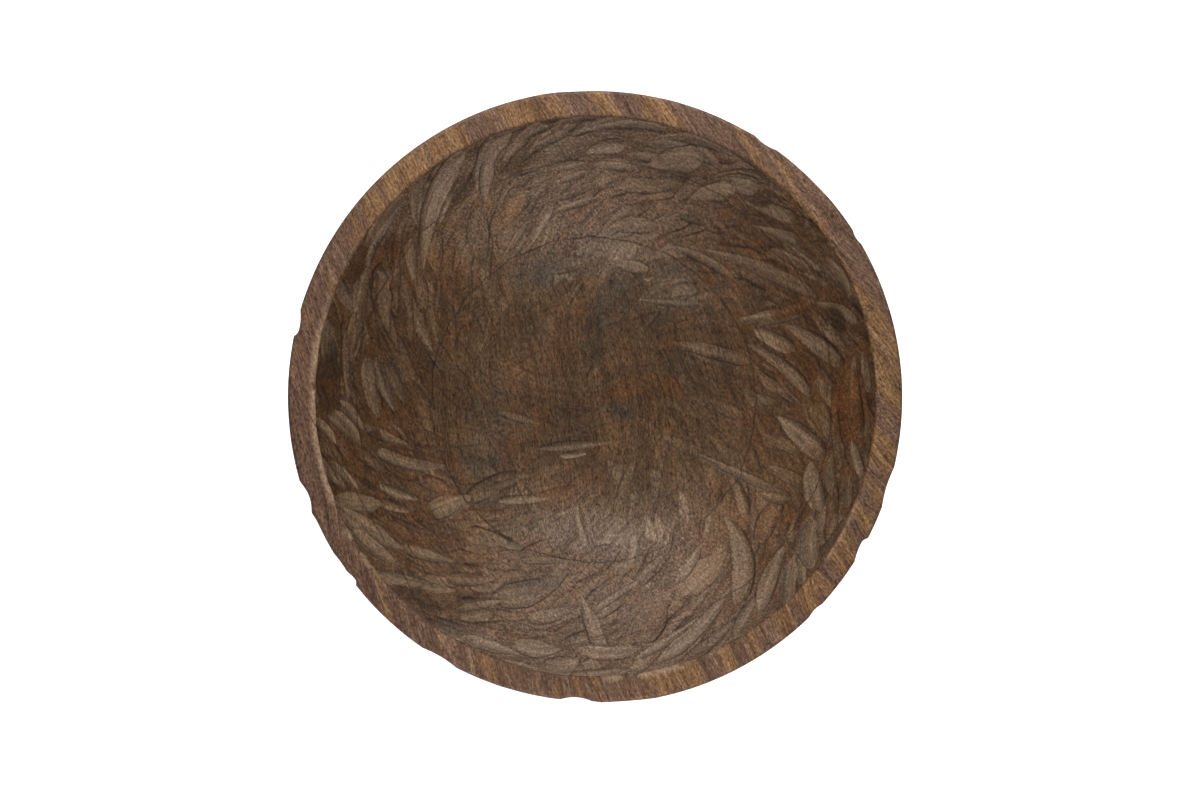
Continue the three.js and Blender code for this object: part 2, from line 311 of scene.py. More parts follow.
# stained or bare patches:
# x, y, half length, half width, direction in degrees, warm, dark, pale change, protects from fill
PATCHES = [
    (16, -6, 22, 6, -12, .85, 0, -.25, 0), (31, -14, 12, 7, -40, .85, 0, -.25, 0),
    (-31, 3, 9, 6, 20, .9, 0, -.2, 0), (-40, 17, 6, 5, 60, .7, 0, -.1, 0),
    (22, -30, 11, 7, -50, .5, 0, -.1, 0), (-52, -8, 6, 14, 20, .45, 0, -.1, 0),
    (45, 2, 7, 4, 0, .5, 0, 0, 0), (12, -15, 11, 7, -20, -.9, .12, 0, 0),
    (48, -8, 10, 7, -10, -.8, .1, 0, 0), (10, 20, 9, 9, 0, -.6, .2, 0, 0),
    (34, 38, 13, 14, 0, -.7, .20, 0, 0), (9, 70, 20, 9, -20, -.8, .08, .1, 0),
    (52, 62, 28, 9, -38, -.3, 0, .5, 0), (-40, -60, 32, 13, -30, -.5, 0, .34, 0),
    (-10, -78, 22, 8, -20, 0, 0, .24, 0), (72, 20, 8, 20, 0, -.5, .1, .1, 0),
    (-12, -4, 7, 4, 0, -.6, .1, 0, 0), (115, -70, 23, 7.5, 61, .95, .12, -.8, 1),
    (113, 29, 9, 5, -30, .8, 0, -.5, 1), (113, -12, 10, 5, -10, .75, 0, -.4, 1),
    (96, 22, 5, 2.6, -20, .8, 0, 0, 0), (99, 3, 11, 5.5, 0, -.5, .15, -.2, 1),
    (-8, 131, 10, 5, 30, .15, .4, -.8, 1), (26, 129, 13, 4, -8, .2, .3, -.6, 1),
    (-119, 78, 17, 6, 60, 0, .35, -.5, 1), (-138, -46, 14, 6.5, -50, 0, .5, -.9, 1),
    (-124, -59, 2.4, 2.0, 0, .9, .45, -.4, 0), (-104, 76, 3, 1.5, 80, .7, .4, -.4, 0),
    (-19, 145, 2.2, 1.7, 0, 0, .42, -.6, 0), (130, 46, 6, 5, -30, 0, .38, -.6, 0),
    (132, -30, 8, 3.5, 90, 0, .5, -.5, 0), (56, 142, 11, 4.5, -22, 0, .6, -.6, 0),
    (-75, 125, 14, 5, 33, 0, .35, -.6, 1), (-60, 122, 10, 6, 25, .3, .15, -.6, 1),
    (-114, -14, 10, 7, 80, .35, .1, -.5, 1), (106, -44, 7, 4, 80, .35, .15, -.4, 1),
    (-114, 38, 7, 4, 60, .2, .2, -.4, 1), (140, 10, 14, 4, 100, .4, .2, -.5, 1),
    (-35, 100, 14, 10, 40, .5, 0, -.1, 0), (8, 106, 12, 7, 30, .55, 0, .1, 0),
    (55, -106, 10, 6, 20, .5, 0, 0, 0), (-103, -44, 12, 7, -35, .5, 0, 0, 0),
    (2, -112, 14, 6, 12, .35, 0, .15, 0), (125, 32, 6, 4, -40, .3, 0, -.2, 0),
    (-128, 30, 9, 5, 80, .35, .1, -.3, 1), (-80, -72, 13, 5, -10, -.7, .15, 0, 0),
    (-70, -40, 10, 12, 0, -.5, .05, 0, 0), (-30, -78, 14, 8, -15, -.7, 0, .2, 0),
    (62, 30, 18, 14, 20, -.65, .04, .2, 0), (40, 62, 18, 9, -20, -.75, 0, .25, 0),
    (-60, 12, 34, 12, 60, -.6, .05, 0, 0), (18, 30, 9, 8, 30, -.3, .2, 0, 0),
    (46, 46, 9, 7, 0, -.7, 0, .1, 0),
]

# cuts that break the rim's outer edge: direction, depth, half width (degrees), sharp on one side
EDGE_CUTS = [
    (1.2, .8, 1.6, 0), (26.0, 1.45, 3.0, 0), (137.6, 2.0, 2.4, 1), (169.6, 2.3, 3.4, 0),
    (184.0, 2.05, 5.0, 0), (187.4, 2.95, 2.2, 1), (209.2, 2.5, 5.6, 0), (236.2, 3.15, 4.2, 0),
    (243.0, .8, 8.0, 0), (285.4, .85, 1.8, 0), (300.8, 2.0, 2.4, 1), (312.4, 1.3, 4.0, 0),
]
# longer stretches where the edge is planed back: from, to, depth, run-out in degrees
EDGE_FLATS = [(28, 66, .58, 7), (173, 241, 1.32, 4), (12, 28, .35, 6)]


# ------------------------------------------------------------------ carving one cut
def blank_maps(shape):
    """Depth in mm and four paint masks over a sheet; dark holds painted shadow at the cuts' edges
    and dark stain; fib is the streaking along each cut.
    """
    maps = {name: np.zeros(shape, np.float32) for name in ("depth", "pale", "dark", "warm")}
    maps["fib"] = np.full(shape, 0.5, np.float32)
    return maps


def bezier(cut, points=14):
    dx, dy = cut.x1 - cut.x0, cut.y1 - cut.y0
    length = math.hypot(dx, dy) or 1e-6
    mid_x = (cut.x0 + cut.x1) / 2 - dy / length * cut.bow * 2
    mid_y = (cut.y0 + cut.y1) / 2 + dx / length * cut.bow * 2
    t = np.linspace(0, 1, points)
    return ((1 - t) ** 2 * cut.x0 + 2 * t * (1 - t) * mid_x + t * t * cut.x1,
            (1 - t) ** 2 * cut.y0 + 2 * t * (1 - t) * mid_y + t * t * cut.y1)


def nearest_on_path(x, y, path):
    """Distance to a path, signed distance (left is +), run along it, and its length."""
    path_x, path_y = path
    best = np.full(x.shape, 1e9)
    lateral = np.zeros(x.shape)
    along = np.zeros(x.shape)
    steps = np.hypot(np.diff(path_x), np.diff(path_y))
    run = np.concatenate([[0], np.cumsum(steps)])
    for k in range(len(steps)):
        dx, dy = path_x[k + 1] - path_x[k], path_y[k + 1] - path_y[k]
        length = steps[k] + 1e-9
        qx, qy = x - path_x[k], y - path_y[k]
        t = np.clip((qx * dx + qy * dy) / length ** 2, 0, 1)
        squared = (qx - t * dx) ** 2 + (qy - t * dy) ** 2
        closer = squared < best
        best[closer] = squared[closer]
        lateral[closer] = ((dx * qy - dy * qx) / length)[closer]
        along[closer] = run[k] + t[closer] * length
    distance = np.sqrt(best)
    return distance, np.where(lateral >= 0, distance, -distance), along, run[-1]


def leaf(s):
    """Half-width along a cut: blunt where the tool goes in, pointed where it leaves."""
    head = np.sqrt(np.clip(1 - (1 - s / 0.3) ** 2, 0, 1))
    tail = np.clip(1 - (np.clip(s - 0.3, 0, None) / 0.7) ** 2.4, 0, 1)
    return np.where(s < 0.3, head, tail)


def across(t):
    """Depth across a cut: shallow on one side, a steep lip at t = +1."""
    t = np.clip(t, -1, 1)
    return (1 + t) ** 1.3 * (1 - t) ** 0.55 / 1.17


def carve(maps, x, y, path, cut, seed, guard=None, force=.35):
    """Cuts one stroke into a window of the maps.

    Where guard is 1 the cut is held back; force lets a cut replace one up to that much deeper.
    """
    _, lateral, along, length = nearest_on_path(x, y, path)
    s = along / length
    wobble = 1 + 0.26 * (vnoise(along * .16, seed * 3.7, 71) - .5)
    half = cut.width / 2 * leaf(s) * wobble + 1e-6
    t = lateral / half
    inside = (np.abs(t) < 1) & (s > 0) & (s < 1)
    t = t * cut.side if cut.side else t
    shape = across(t) if cut.side else np.clip(1 - t * t, 0, 1)
    depth = cut.depth * (half / (cut.width / 2)) ** 1.15 * shape
    depth = depth * (0.95 + 0.10 * vnoise(lateral * .9 + seed * 13.1, along * .05, 5))
    if guard is not None:
        depth = depth * (1 - 0.85 * guard)
    # the tool starts from the surface earlier cuts left, so cuts overlap like scales
    if inside.any():
        depth = depth + 0.60 * float(maps["depth"][inside].mean())
    m = inside & (depth > maps["depth"] - force)
    maps["depth"][m] = depth[m]
    fine = vnoise(lateral * 1.35 + seed * 7.3, along * .07 + seed, 33)
    coarse = vnoise(lateral * .55 + seed * 3.1, along * .035 + seed, 34)
    maps["fib"][m] = (0.6 * fine + 0.4 * coarse)[m]
    body = (smooth(-1.02, -0.62, t) * (0.75 + 0.25 * smooth(0.0, 0.3, s))
            * (1 - 0.3 * smooth(.85, 1, s)))
    pale = cut.pale * body * (0.80 + 0.40 * coarse) * (1.06 - 0.34 * smooth(-.3, 1, t))
    if not cut.side:
        pale = pale * smooth(.30, .62, .5 * fine + .5 * coarse)
    maps["pale"][m] = pale[m]
    # painted shadow: dark along the steep lip and along the far edge of each cut
    if cut.side:
        lip = smooth(1 - min(0.5, 2.6 / cut.width), 0.93, t) * (0.4 + 0.6 * leaf(s))
        back = ((1 - smooth(-0.99, -1 + min(0.4, 1.8 / cut.width), t))
                * (0.45 + 0.5 * vnoise(along * .2, seed * 1.3, 9)))
        maps["dark"][m] = (np.maximum(lip, back) * min(1, .25 + cut.depth / .6))[m]
    else:
        maps["dark"][m] = 0
    maps["warm"][m] = cut.warm


# ------------------------------------------------------------------ the hollow, mapped in plan
PLAN_CELL = 0.25
PLAN_HALF = 156.0
PLAN_COUNT = int(2 * PLAN_HALF / PLAN_CELL) + 1
plan_axis = -PLAN_HALF + PLAN_CELL * np.arange(PLAN_COUNT)
plan_x, plan_y = np.meshgrid(plan_axis, plan_axis)      # [row = y, column = x]
hollow_maps = blank_maps(plan_x.shape)
patch_maps = {name: np.zeros(plan_x.shape, np.float32)
              for name in ("warm", "dark", "pale", "protect")}


def seen_to_plan(x, y):
    """A point laid out in the rim's plane, seen from the camera, to its place on the hollow."""
    px, py = float(x), float(y)
    for _ in range(6):
        below = HEIGHT - float(hollow_z(min(math.hypot(px, py), HOLLOW_R)))
        spread = (CAM_DIST + below) / CAM_DIST
        px = CAM_XY[0] + (x - CAM_XY[0]) * spread
        py = CAM_XY[1] + (y - CAM_XY[1]) * spread
    return px, py


def window(x0, x1, y0, y1):
    """Slices of the plan maps that cover a rectangle."""
    i0, i1 = int((x0 + PLAN_HALF) / PLAN_CELL), int((x1 + PLAN_HALF) / PLAN_CELL) + 2
    j0, j1 = int((y0 + PLAN_HALF) / PLAN_CELL), int((y1 + PLAN_HALF) / PLAN_CELL) + 2
    return (slice(max(j0, 0), min(max(j1, 0), PLAN_COUNT)),
            slice(max(i0, 0), min(max(i1, 0), PLAN_COUNT)))


def sample_plan(sheet, x, y):
    row, column = (np.clip((c + PLAN_HALF) / PLAN_CELL, 0, PLAN_COUNT - 1.001) for c in (y, x))
    return bilinear(sheet, row, column)


def lay_patches():
    for k, (x, y, half_l, half_w, turn, warm, dark, pale, keep) in enumerate(PATCHES):
        x, y = seen_to_plan(x, y)
        reach = 1.7 * max(half_l, half_w)
        w = window(x - reach, x + reach, y - reach, y + reach)
        dx, dy = plan_x[w] - x, plan_y[w] - y
        c, s = math.cos(math.radians(turn)), math.sin(math.radians(turn))
        u, v = (dx * c + dy * s) / half_l, (-dx * s + dy * c) / half_w
        wobble = 0.35 * (fbm(plan_x[w] * .12, plan_y[w] * .12, 900 + k) - .5)
        m = 1 - smooth(0.65, 1.25, np.hypot(u, v) + wobble * 2)
        patch_maps["warm"][w] += warm * m
        patch_maps["dark"][w] = np.maximum(patch_maps["dark"][w], dark * m)
        patch_maps["pale"][w] += pale * m
        if keep:
            patch_maps["protect"][w] = np.maximum(patch_maps["protect"][w], m)


def plan_path(cut, reach):
    """The path of a cut on the plan, and the window that holds it."""
    (x0, y0), (x1, y1) = seen_to_plan(cut.x0, cut.y0), seen_to_plan(cut.x1, cut.y1)
    px, py = bezier(cut._replace(x0=x0, y0=y0, x1=x1, y1=y1))
    e = cut.width / 2 + reach
    return (px, py), window(px.min() - e, px.max() + e, py.min() - e, py.max() + e)


def put(cut, seed, guarded=True, force=.35):
    path, w = plan_path(cut, 2)
    views = {name: sheet[w] for name, sheet in hollow_maps.items()}
    guard = patch_maps["protect"][w] if guarded else None
    carve(views, plan_x[w], plan_y[w], path, cut, seed, guard, force)


def scattered(radii, space, jitter, drift, lean, lean_spread, half_length, stretch, bow,
              width, depth, pale, pale_gain, warm):
    """Rings of random cuts round the hollow, leaning inward off the ring by lean degrees.

    Pairs are the lowest and highest values; stretch is the gain on length from r = 90 to 148.
    """
    out = []
    for radius in radii:
        n = int(TURN * radius / space)
        turn0 = RNG.uniform(0, 1)
        for k in range(n):
            th = TURN * (k + turn0 + RNG.uniform(-jitter, jitter)) / n
            r = radius + RNG.uniform(-drift, drift)
            lean_here = (np.interp(r, [88, 110, 130, 150], lean)
                         + RNG.uniform(-lean_spread, lean_spread))
            heading = th + math.pi / 2 + math.radians(lean_here)
            half = RNG.uniform(*half_length) * np.interp(r, [90, 148], stretch)
            x, y = r * math.cos(th), r * math.sin(th)
            ux, uy = math.cos(heading), math.sin(heading)
            out.append(Cut(x - ux * half, y - uy * half, x + ux * half, y + uy * half,
                           -RNG.uniform(*bow), RNG.uniform(*width), RNG.uniform(*depth),
                           RNG.uniform(*pale) * pale_gain, RNG.choice([1, -1]),
                           RNG.uniform(*warm)))
    return out


def floor_fill():
    return scattered(radii=(12, 30, 46, 62, 76), space=17, jitter=.3, drift=5, lean=[55] * 4,
                     lean_spread=16, half_length=(10, 22), stretch=[1, 1], bow=(0, 2),
                     width=(8, 16), depth=(.1, .2), pale=(0, .22), pale_gain=1,
                     warm=(-.25, .25))


def wall_fill():
    shared = dict(jitter=.35, drift=4, lean=[50, 38, 29, 20], lean_spread=9, stretch=[.85, 1.1],
                  bow=(.2, 2.4), depth=(.3, .55), pale_gain=.78, warm=(-.12, .18))
    return (scattered(radii=(92, 101, 110, 119, 128, 137, 144.5), space=12.0, width=(8, 14),
                      half_length=(13, 24), pale=(0, .5), **shared)
            + scattered(radii=(96, 114, 131, 142), space=40.0, width=(5, 8),
                        half_length=(9, 18), pale=(.25, .6), **shared))


def clear_round(cut, margin=1.8):
    """Plain dark ground beside a bold cut: flattens and unpaints the fill round it."""
    path, w = plan_path(cut, margin + 3)
    x, y = plan_x[w], plan_y[w]
    distance = nearest_on_path(x, y, path)[0]
    wobble = 1.6 * (fbm(x * .14, y * .14, 640) - .5) * 2
    border = cut.width / 2 + margin
    k = 1 - smooth(border - 1.6, border + 1.2, distance + wobble)
    depth = hollow_maps["depth"][w]
    hollow_maps["depth"][w] = depth * (1 - k) + k * float(depth.mean()) * .55
    for name, loss in (("pale", .85), ("dark", .5), ("warm", .5)):
        hollow_maps[name][w] *= 1 - loss * k


def middle_radius(cut):
    return math.hypot((cut.x0 + cut.x1) / 2, (cut.y0 + cut.y1) / 2)


def carve_hollow():
    for k, row in enumerate(BROAD):
        put(Cut(*row), 300 + k, guarded=False)
    for first_seed, cuts in ((500, floor_fill()), (1000, wall_fill())):
        for k, cut in enumerate(cuts):
            put(cut, first_seed + k)
    bold = sorted((Cut(*row) for row in STROKES), key=lambda cut: min(cut.pale, .8))
    for cut in bold:
        if cut.pale > .58 and middle_radius(cut) > 92:
            clear_round(cut)
    for k, cut in enumerate(bold):
        if cut.width < 12:
            r = middle_radius(cut)
            gain = .62 if r < 86 else .68 + .34 * float(smooth(108, 134, r))
            cut = cut._replace(width=cut.width * 1.22, pale=cut.pale * gain)
        put(cut._replace(depth=cut.depth * 1.5), k, guarded=False, force=9.0)


def finish_hollow_maps():
    maps = hollow_maps
    # the cuts stop short of the rim's inner edge
    fade = 1 - 0.75 * smooth(HOLLOW_R - 3.0, HOLLOW_R + 0.6, np.hypot(plan_x, plan_y))
    maps["depth"] *= fade.astype(np.float32)
    maps["depth"] = blur(maps["depth"], 2)
    # crest: ridges between cuts are positive, hollows negative; the shader paints shade into the
    # hollows
    relief = box_blur(maps["depth"], 3) - maps["depth"]
    maps["crest"] = np.clip(relief / 0.07, -1.5, 1.5).astype(np.float32)
    pale = np.clip(blur(maps["pale"]) + patch_maps["pale"] * 0.6, 0, 1.2).astype(np.float32)
    pale *= (1 - 0.6 * np.clip(patch_maps["protect"], 0, 1)).astype(np.float32)
    maps["pale"] = pale
    # dark: painted shadow at the cuts' edges, with the dark stain of the patches
    maps["dark"] = np.maximum(blur(maps["dark"]), patch_maps["dark"]).astype(np.float32)
    warm = blur(maps["warm"], 3) + patch_maps["warm"]
    maps["warm"] = np.clip(warm, -1, 1).astype(np.float32)


lay_patches()
carve_hollow()
finish_hollow_maps()

# ------------------------------------------------------------------ the outside, mapped unrolled
# rows run down the wall from the rim's edge, columns round the bowl
WALL_LENGTH = 128.0
WALL_CELL = 0.4
WALL_COLUMNS = int(TURN * RIM_R / WALL_CELL)
WALL_ROWS = int(WALL_LENGTH / WALL_CELL) + 1
row_down = WALL_CELL * np.arange(WALL_ROWS)
column_th = TURN * np.arange(WALL_COLUMNS) / WALL_COLUMNS
row_r = np.interp(row_down, wall_down, wall_r)
outer_maps = blank_maps((WALL_ROWS, WALL_COLUMNS))


def sample_wall(sheet, th, down):
    return bilinear(sheet, np.clip(down / WALL_CELL, 0, WALL_ROWS - 1.001),
                    (th % TURN) / TURN * WALL_COLUMNS)


def put_outside(cut, th, middle, seed):
    """A cut whose x runs round the bowl from direction th, and y down the wall."""
    px, py = bezier(cut)
    e = cut.width / 2 + 2
    j0 = max(int((py.min() - e) / WALL_CELL), 0)
    j1 = min(int((py.max() + e) / WALL_CELL) + 2, WALL_ROWS)
    if j1 <= j0:
        return
    r_mid = float(np.interp(middle, wall_down, wall_r))
    spread = (max(abs(px.min()), abs(px.max())) + e) / max(r_mid * .8, 40)
    columns = np.arange(int((th - spread) / TURN * WALL_COLUMNS),
                        int((th + spread) / TURN * WALL_COLUMNS) + 1)
    wrapped = columns % WALL_COLUMNS
    down = row_down[j0:j1][:, None] * np.ones(len(columns))
    round_ = (TURN * columns / WALL_COLUMNS - th)[None, :] * row_r[j0:j1][:, None]
    copies = {name: sheet[j0:j1][:, wrapped] for name, sheet in outer_maps.items()}
    carve(copies, round_, down, (px, py), cut, seed)
    for name, copy in copies.items():
        outer_maps[name][j0:j1][:, wrapped] = copy


def carve_outside():
    """Rows of leaning cuts from the rim down to the foot."""
    seed = 4000
    for row, row_middle in enumerate((8, 26, 46, 66, 86, 104)):
        n = int(TURN * float(np.interp(row_middle, wall_down, wall_r)) / 13.0)
        turn0 = RNG.uniform(0, 1)
        for k in range(n):
            th = math.radians(360.0 * (k + turn0 + RNG.uniform(-.32, .32)) / n)
            length = RNG.uniform(24, 44)
            top = row_middle - length / 2 + RNG.uniform(-6, 6)
            if row == 0:
                top = max(top, 3.0)
            lean = math.radians(RNG.uniform(18, 38))
            side_run = math.sin(lean) * length / 2
            cut = Cut(-side_run, top, side_run, top + math.cos(lean) * length,
                      bow=RNG.uniform(-2, 2), width=RNG.uniform(8, 14),
                      depth=RNG.uniform(.5, 1.0), pale=RNG.uniform(.1, .75),
                      side=RNG.choice([1, -1]), warm=RNG.uniform(-.2, .3))
            put_outside(cut, th, top + length / 2, seed)
            seed += 1


def rim_edge_cut():
    """How far the rim's outer edge is cut back, by direction."""
    turn = np.degrees(column_th)
    depth = np.zeros(WALL_COLUMNS)
    for middle, deepest, half, sharp in EDGE_CUTS:
        t = ((turn - middle + 180) % 360 - 180) / half
        if sharp:
            shape = np.where(t > 0, np.clip(1 - (t / .55) ** 2, 0, 1) ** .8,
                             np.clip(1 - (t / 1.5) ** 2, 0, 1))
        else:
            shape = np.clip(1 - t * t, 0, 1) ** 1.2
        depth = np.maximum(depth, deepest * shape)
    for start, end, flat, run in EDGE_FLATS:
        planed = band(start - run / 2, start + run / 2, end - run / 2, end + run / 2, turn)
        depth = np.maximum(depth, flat * planed)
    depth += 0.16 * (fbm(np.cos(column_th) * 14 + 30, np.sin(column_th) * 14 + 30, 60) - .5)
    return np.clip(depth, 0, None)


def finish_outer_maps():
    # below the edge its cuts run on down the wall, leaning
    down = row_down[:, None]
    lean_shift = np.tan(math.radians(27)) * down / RIM_R
    source = (column_th[None, :] - lean_shift) % TURN
    edge_at = np.interp(source.ravel(), column_th, edge_cut, period=TURN)
    edge_at = edge_at.reshape(WALL_ROWS, WALL_COLUMNS)
    run_down = edge_at * (1.25 + 0.5 * smooth(0, 8, down)) * (1 - smooth(12, 34, down))
    depth = outer_maps["depth"]
    depth = np.where(run_down > depth, run_down, depth).astype(np.float32)
    # near the very edge only the edge cuts count, so that the rim's outline follows them
    below_edge = smooth(0.0, 5.0, down)
    depth = (edge_at * (1 - below_edge) + depth * below_edge).astype(np.float32)
    foot_fade = 1 - smooth(WALL_LENGTH - 26, WALL_LENGTH - 12, down)
    depth = blur(depth * foot_fade, 2, wrap=True).astype(np.float32)
    outer_maps["depth"] = depth
    relief = box_blur(depth, 2, True) - depth
    outer_maps["crest"] = np.clip(relief / 0.09, -1.5, 1.5).astype(np.float32)


carve_outside()
edge_cut = rim_edge_cut()
finish_outer_maps()

# ------------------------------------------------------------------ the skin, ring by ring
HOLLOW, RIM, OUTSIDE, FOOT = range(4)


def skin_rings():
    """Rings from the hollow's centre over the rim to under the foot: r, z, zone, value, spacing.

    The value is 0 to 1 across the flat of the rim, and the distance down the outside wall.
    """
    rings = []
    # hollow, equal steps along the surface
    hollow_end = HOLLOW_R - 0.9
    r_dense = np.linspace(0, hollow_end, 4000)
    arc = np.cumsum(np.hypot(np.diff(r_dense), np.diff(hollow_z(r_dense))))
    arc = np.concatenate([[0], arc])
    for s in np.linspace(0, arc[-1], int(arc[-1] / HOLLOW_STEP) + 1)[1:]:
        r = float(np.interp(s, arc, r_dense))
        rings.append((r, float(hollow_z(r)), HOLLOW, 0.0, HOLLOW_STEP))
    # rounded inner edge, from the wall up on to the flat
    z_end = float(hollow_z(hollow_end))
    for dr, z in ((-.45, z_end + .55), (-.05, z_end + .95), (.35, HEIGHT - .14),
                  (.75, HEIGHT - .05)):
        rings.append((HOLLOW_R + dr, min(z, HEIGHT - .02), RIM, -1.0, HOLLOW_STEP))
    flat_in, flat_out = HOLLOW_R + 1.2, RIM_R - RIM_ROUND
    for t in np.linspace(0, 1, int((flat_out - flat_in) / RIM_STEP) + 1):
        rings.append((flat_in + (flat_out - flat_in) * t, HEIGHT, RIM, float(t), RIM_STEP))
    for degrees in (18, 36, 54, 72, 90):
        a = math.radians(degrees)
        rings.append((flat_out + RIM_ROUND * math.sin(a), HEIGHT - RIM_ROUND * (1 - math.cos(a)),
                      RIM, -1.0, RIM_STEP))
    # outside wall
    s = WALL_STEP
    while s < wall_down[-1]:
        z = float(np.interp(s, wall_down, wall_z))
        r = float(np.interp(s, wall_down, wall_r))
        rings.append((r, z, OUTSIDE, s, WALL_STEP))
        s += WALL_STEP
    # rounded foot and its flat underside
    for degrees in (0, 30, 60, 90):
        a = math.radians(degrees)
        rings.append((FOOT_R - FOOT_ROUND + FOOT_ROUND * math.cos(a),
                      FOOT_ROUND - FOOT_ROUND * math.sin(a), FOOT, 0.0, FOOT_EDGE_STEP))
    r = FOOT_R - 2 * FOOT_ROUND
    while r > 2:
        rings.append((r, 0.0, FOOT, 0.0, FOOT_STEP))
        r -= FOOT_STEP
    return rings


def strip(start1, n1, start2, n2):
    """Triangles between two rings of different counts."""
    t = np.concatenate([(np.arange(n1) + .5) / n1, (np.arange(n2) + .5) / n2])
    kind = np.concatenate([np.zeros(n1, int), np.ones(n2, int)])
    kind = kind[np.argsort(t, kind="stable")]
    i = np.cumsum(kind == 0) - (kind == 0)
    j = np.cumsum(kind == 1) - (kind == 1)
    third = np.where(kind == 0, start1 + (i + 1) % n1, start2 + (j + 1) % n2)
    return np.stack([start1 + i % n1, start2 + j % n2, third], 1)


def skin_triangles(counts):
    """Fans at both centres and strips between the rings."""
    starts = [1 + sum(counts[:q]) for q in range(len(counts))]
    k = np.arange(counts[0])
    parts = [np.stack([0 * k, starts[0] + k, starts[0] + (k + 1) % counts[0]], 1)]
    for q in range(len(counts) - 1):
        parts.append(strip(starts[q], counts[q], starts[q + 1], counts[q + 1]))
    n = counts[-1]
    k = np.arange(n)
    parts.append(np.stack([starts[-1] + k, np.full(n, starts[-1] + n),
                           starts[-1] + (k + 1) % n], 1))
    return np.concatenate(parts)


rings = skin_rings()
counts = [max(6, int(round(TURN * ring[0] / ring[4]))) for ring in rings]
triangles = skin_triangles(counts)


def on_points(column, first, last):
    """A column of the rings spread over their points, with the two centre points."""
    values = [ring[column] for ring in rings]
    return np.concatenate([[first], np.repeat(values, counts), [last]])


base_r = on_points(0, 0.0, 0.0)
base_z = on_points(1, float(hollow_z(0.0)), 0.0)
zone = on_points(2, HOLLOW, FOOT)
value = on_points(3, 0.0, 0.0)
theta = np.concatenate([[0.0]] + [TURN * np.arange(n) / n for n in counts] + [[0.0]])
hollow, rim, outside = zone == HOLLOW, zone == RIM, zone == OUTSIDE
base_x, base_y = base_r * np.cos(theta), base_r * np.sin(theta)


def inner_edge_shift():
    """The rim's inner edge wanders a little and is nicked where cuts reach it."""
    th = np.linspace(0, TURN, 2880, endpoint=False)
    wander = 0.9 * (fbm(np.cos(th) * 2.6 + 7, np.sin(th) * 2.6 + 3, 77, 3) - .5)
    near = HOLLOW_R - 3.5
    nick = sample_plan(hollow_maps["depth"], near * np.cos(th), near * np.sin(th))
    nick = 0.8 * nick / (1 + nick)
    return np.interp(theta, th, wander + nick, period=TURN)


def carved_points():
    # hollow: pushed along its normal by the cuts and by slow unevenness
    depth = np.where(hollow, sample_plan(hollow_maps["depth"], base_x, base_y), 0.0)
    slope = hollow_slope(base_r)
    steep = np.sqrt(1 + slope ** 2)
    soft = 0.5 * (fbm(base_x * .028 + 9, base_y * .028, 41, 3) - .5)
    soft = soft * band(0, 20, HOLLOW_R - 8, HOLLOW_R - 1, base_r)
    r = np.where(hollow, base_r - slope / steep * (soft - depth), base_r)
    z = np.where(hollow, base_z + 1 / steep * (soft - depth), base_z)
    shift = inner_edge_shift()
    r = np.where(hollow, r + shift * smooth(HOLLOW_R - 14, HOLLOW_R - 1.5, base_r), r)
    # rim: both edges move, and the flat dips slightly
    edge = np.interp(theta, column_th, edge_cut, period=TURN)
    over = np.clip((base_r - HOLLOW_R) / RIM_W, 0, 1)
    r = np.where(rim, base_r + shift * (1 - over) - edge * over, r)
    dip = np.minimum(0.10 * (fbm(base_x * .05, base_y * .05, 12, 2) - .5) - 0.05, 0)
    flat = rim & (value >= 0) & (value <= 1)
    z = np.where(flat, HEIGHT + dip * band(0, .1, .9, 1, value), z)
    # outside: cut inward near the rim's edge, along the wall's normal below it
    depth = np.where(outside, sample_wall(outer_maps["depth"], theta, value), 0.0)
    lean = np.interp(base_z, wall_z[::-1], np.gradient(wall_r, wall_z)[::-1])
    steep = np.sqrt(1 + lean ** 2)
    below = smooth(0, 6, value)
    r = np.where(outside, base_r - depth * (1 / steep * below + (1 - below)), r)
    z = np.where(outside, np.maximum(base_z + depth * lean / steep * below, 1.6), z)
    return np.stack([r * np.cos(theta), r * np.sin(theta), z], 1)


# ------------------------------------------------------------------ Blender meshes
def attribute(me, name, values):
    a = me.attributes.get(name) or me.attributes.new(name, "FLOAT", "POINT")
    a.data.foreach_set("value", np.asarray(values, np.float32))


def link_object(name, data):
    o = bpy.data.objects.new(name, data)
    bpy.context.scene.collection.objects.link(o)
    return o


def skin_object():
    me = bpy.data.meshes.new("skin")
    points = carved_points()
    me.vertices.add(len(points))
    me.vertices.foreach_set("co", (points / MM).astype(np.float32).ravel())
    me.loops.add(len(triangles) * 3)
    me.loops.foreach_set("vertex_index", triangles.astype(np.int32).ravel())
    me.polygons.add(len(triangles))
    me.polygons.foreach_set("loop_start", (np.arange(len(triangles)) * 3).astype(np.int32))
    me.polygons.foreach_set("loop_total", np.full(len(triangles), 3, np.int32))
    me.update(calc_edges=True)
    me.validate()
    for name in ("pale", "dark", "warm", "crest", "fib"):
        plain = 0.5 if name == "fib" else 0.0
        mask = np.where(hollow, sample_plan(hollow_maps[name], base_x, base_y), plain)
        mask = np.where(outside, sample_wall(outer_maps[name], theta, value), mask)
        attribute(me, name, mask)
    attribute(me, "rimtop", rim)
    attribute(me, "zone", zone)
    return link_object("skin", me)


def box_object(x0, x1, y0, y1, z0, z1, name):
    corners = [(x / MM, y / MM, z / MM) for z in (z0, z1) for y in (y0, y1) for x in (x0, x1)]
    faces = [(0, 2, 3, 1), (4, 5, 7, 6), (0, 1, 5, 4), (2, 6, 7, 3), (0, 4, 6, 2), (1, 3, 7, 5)]
    me = bpy.data.meshes.new(name)
    me.from_pydata(corners, [], faces)
    me.update()
    return link_object(name, me)


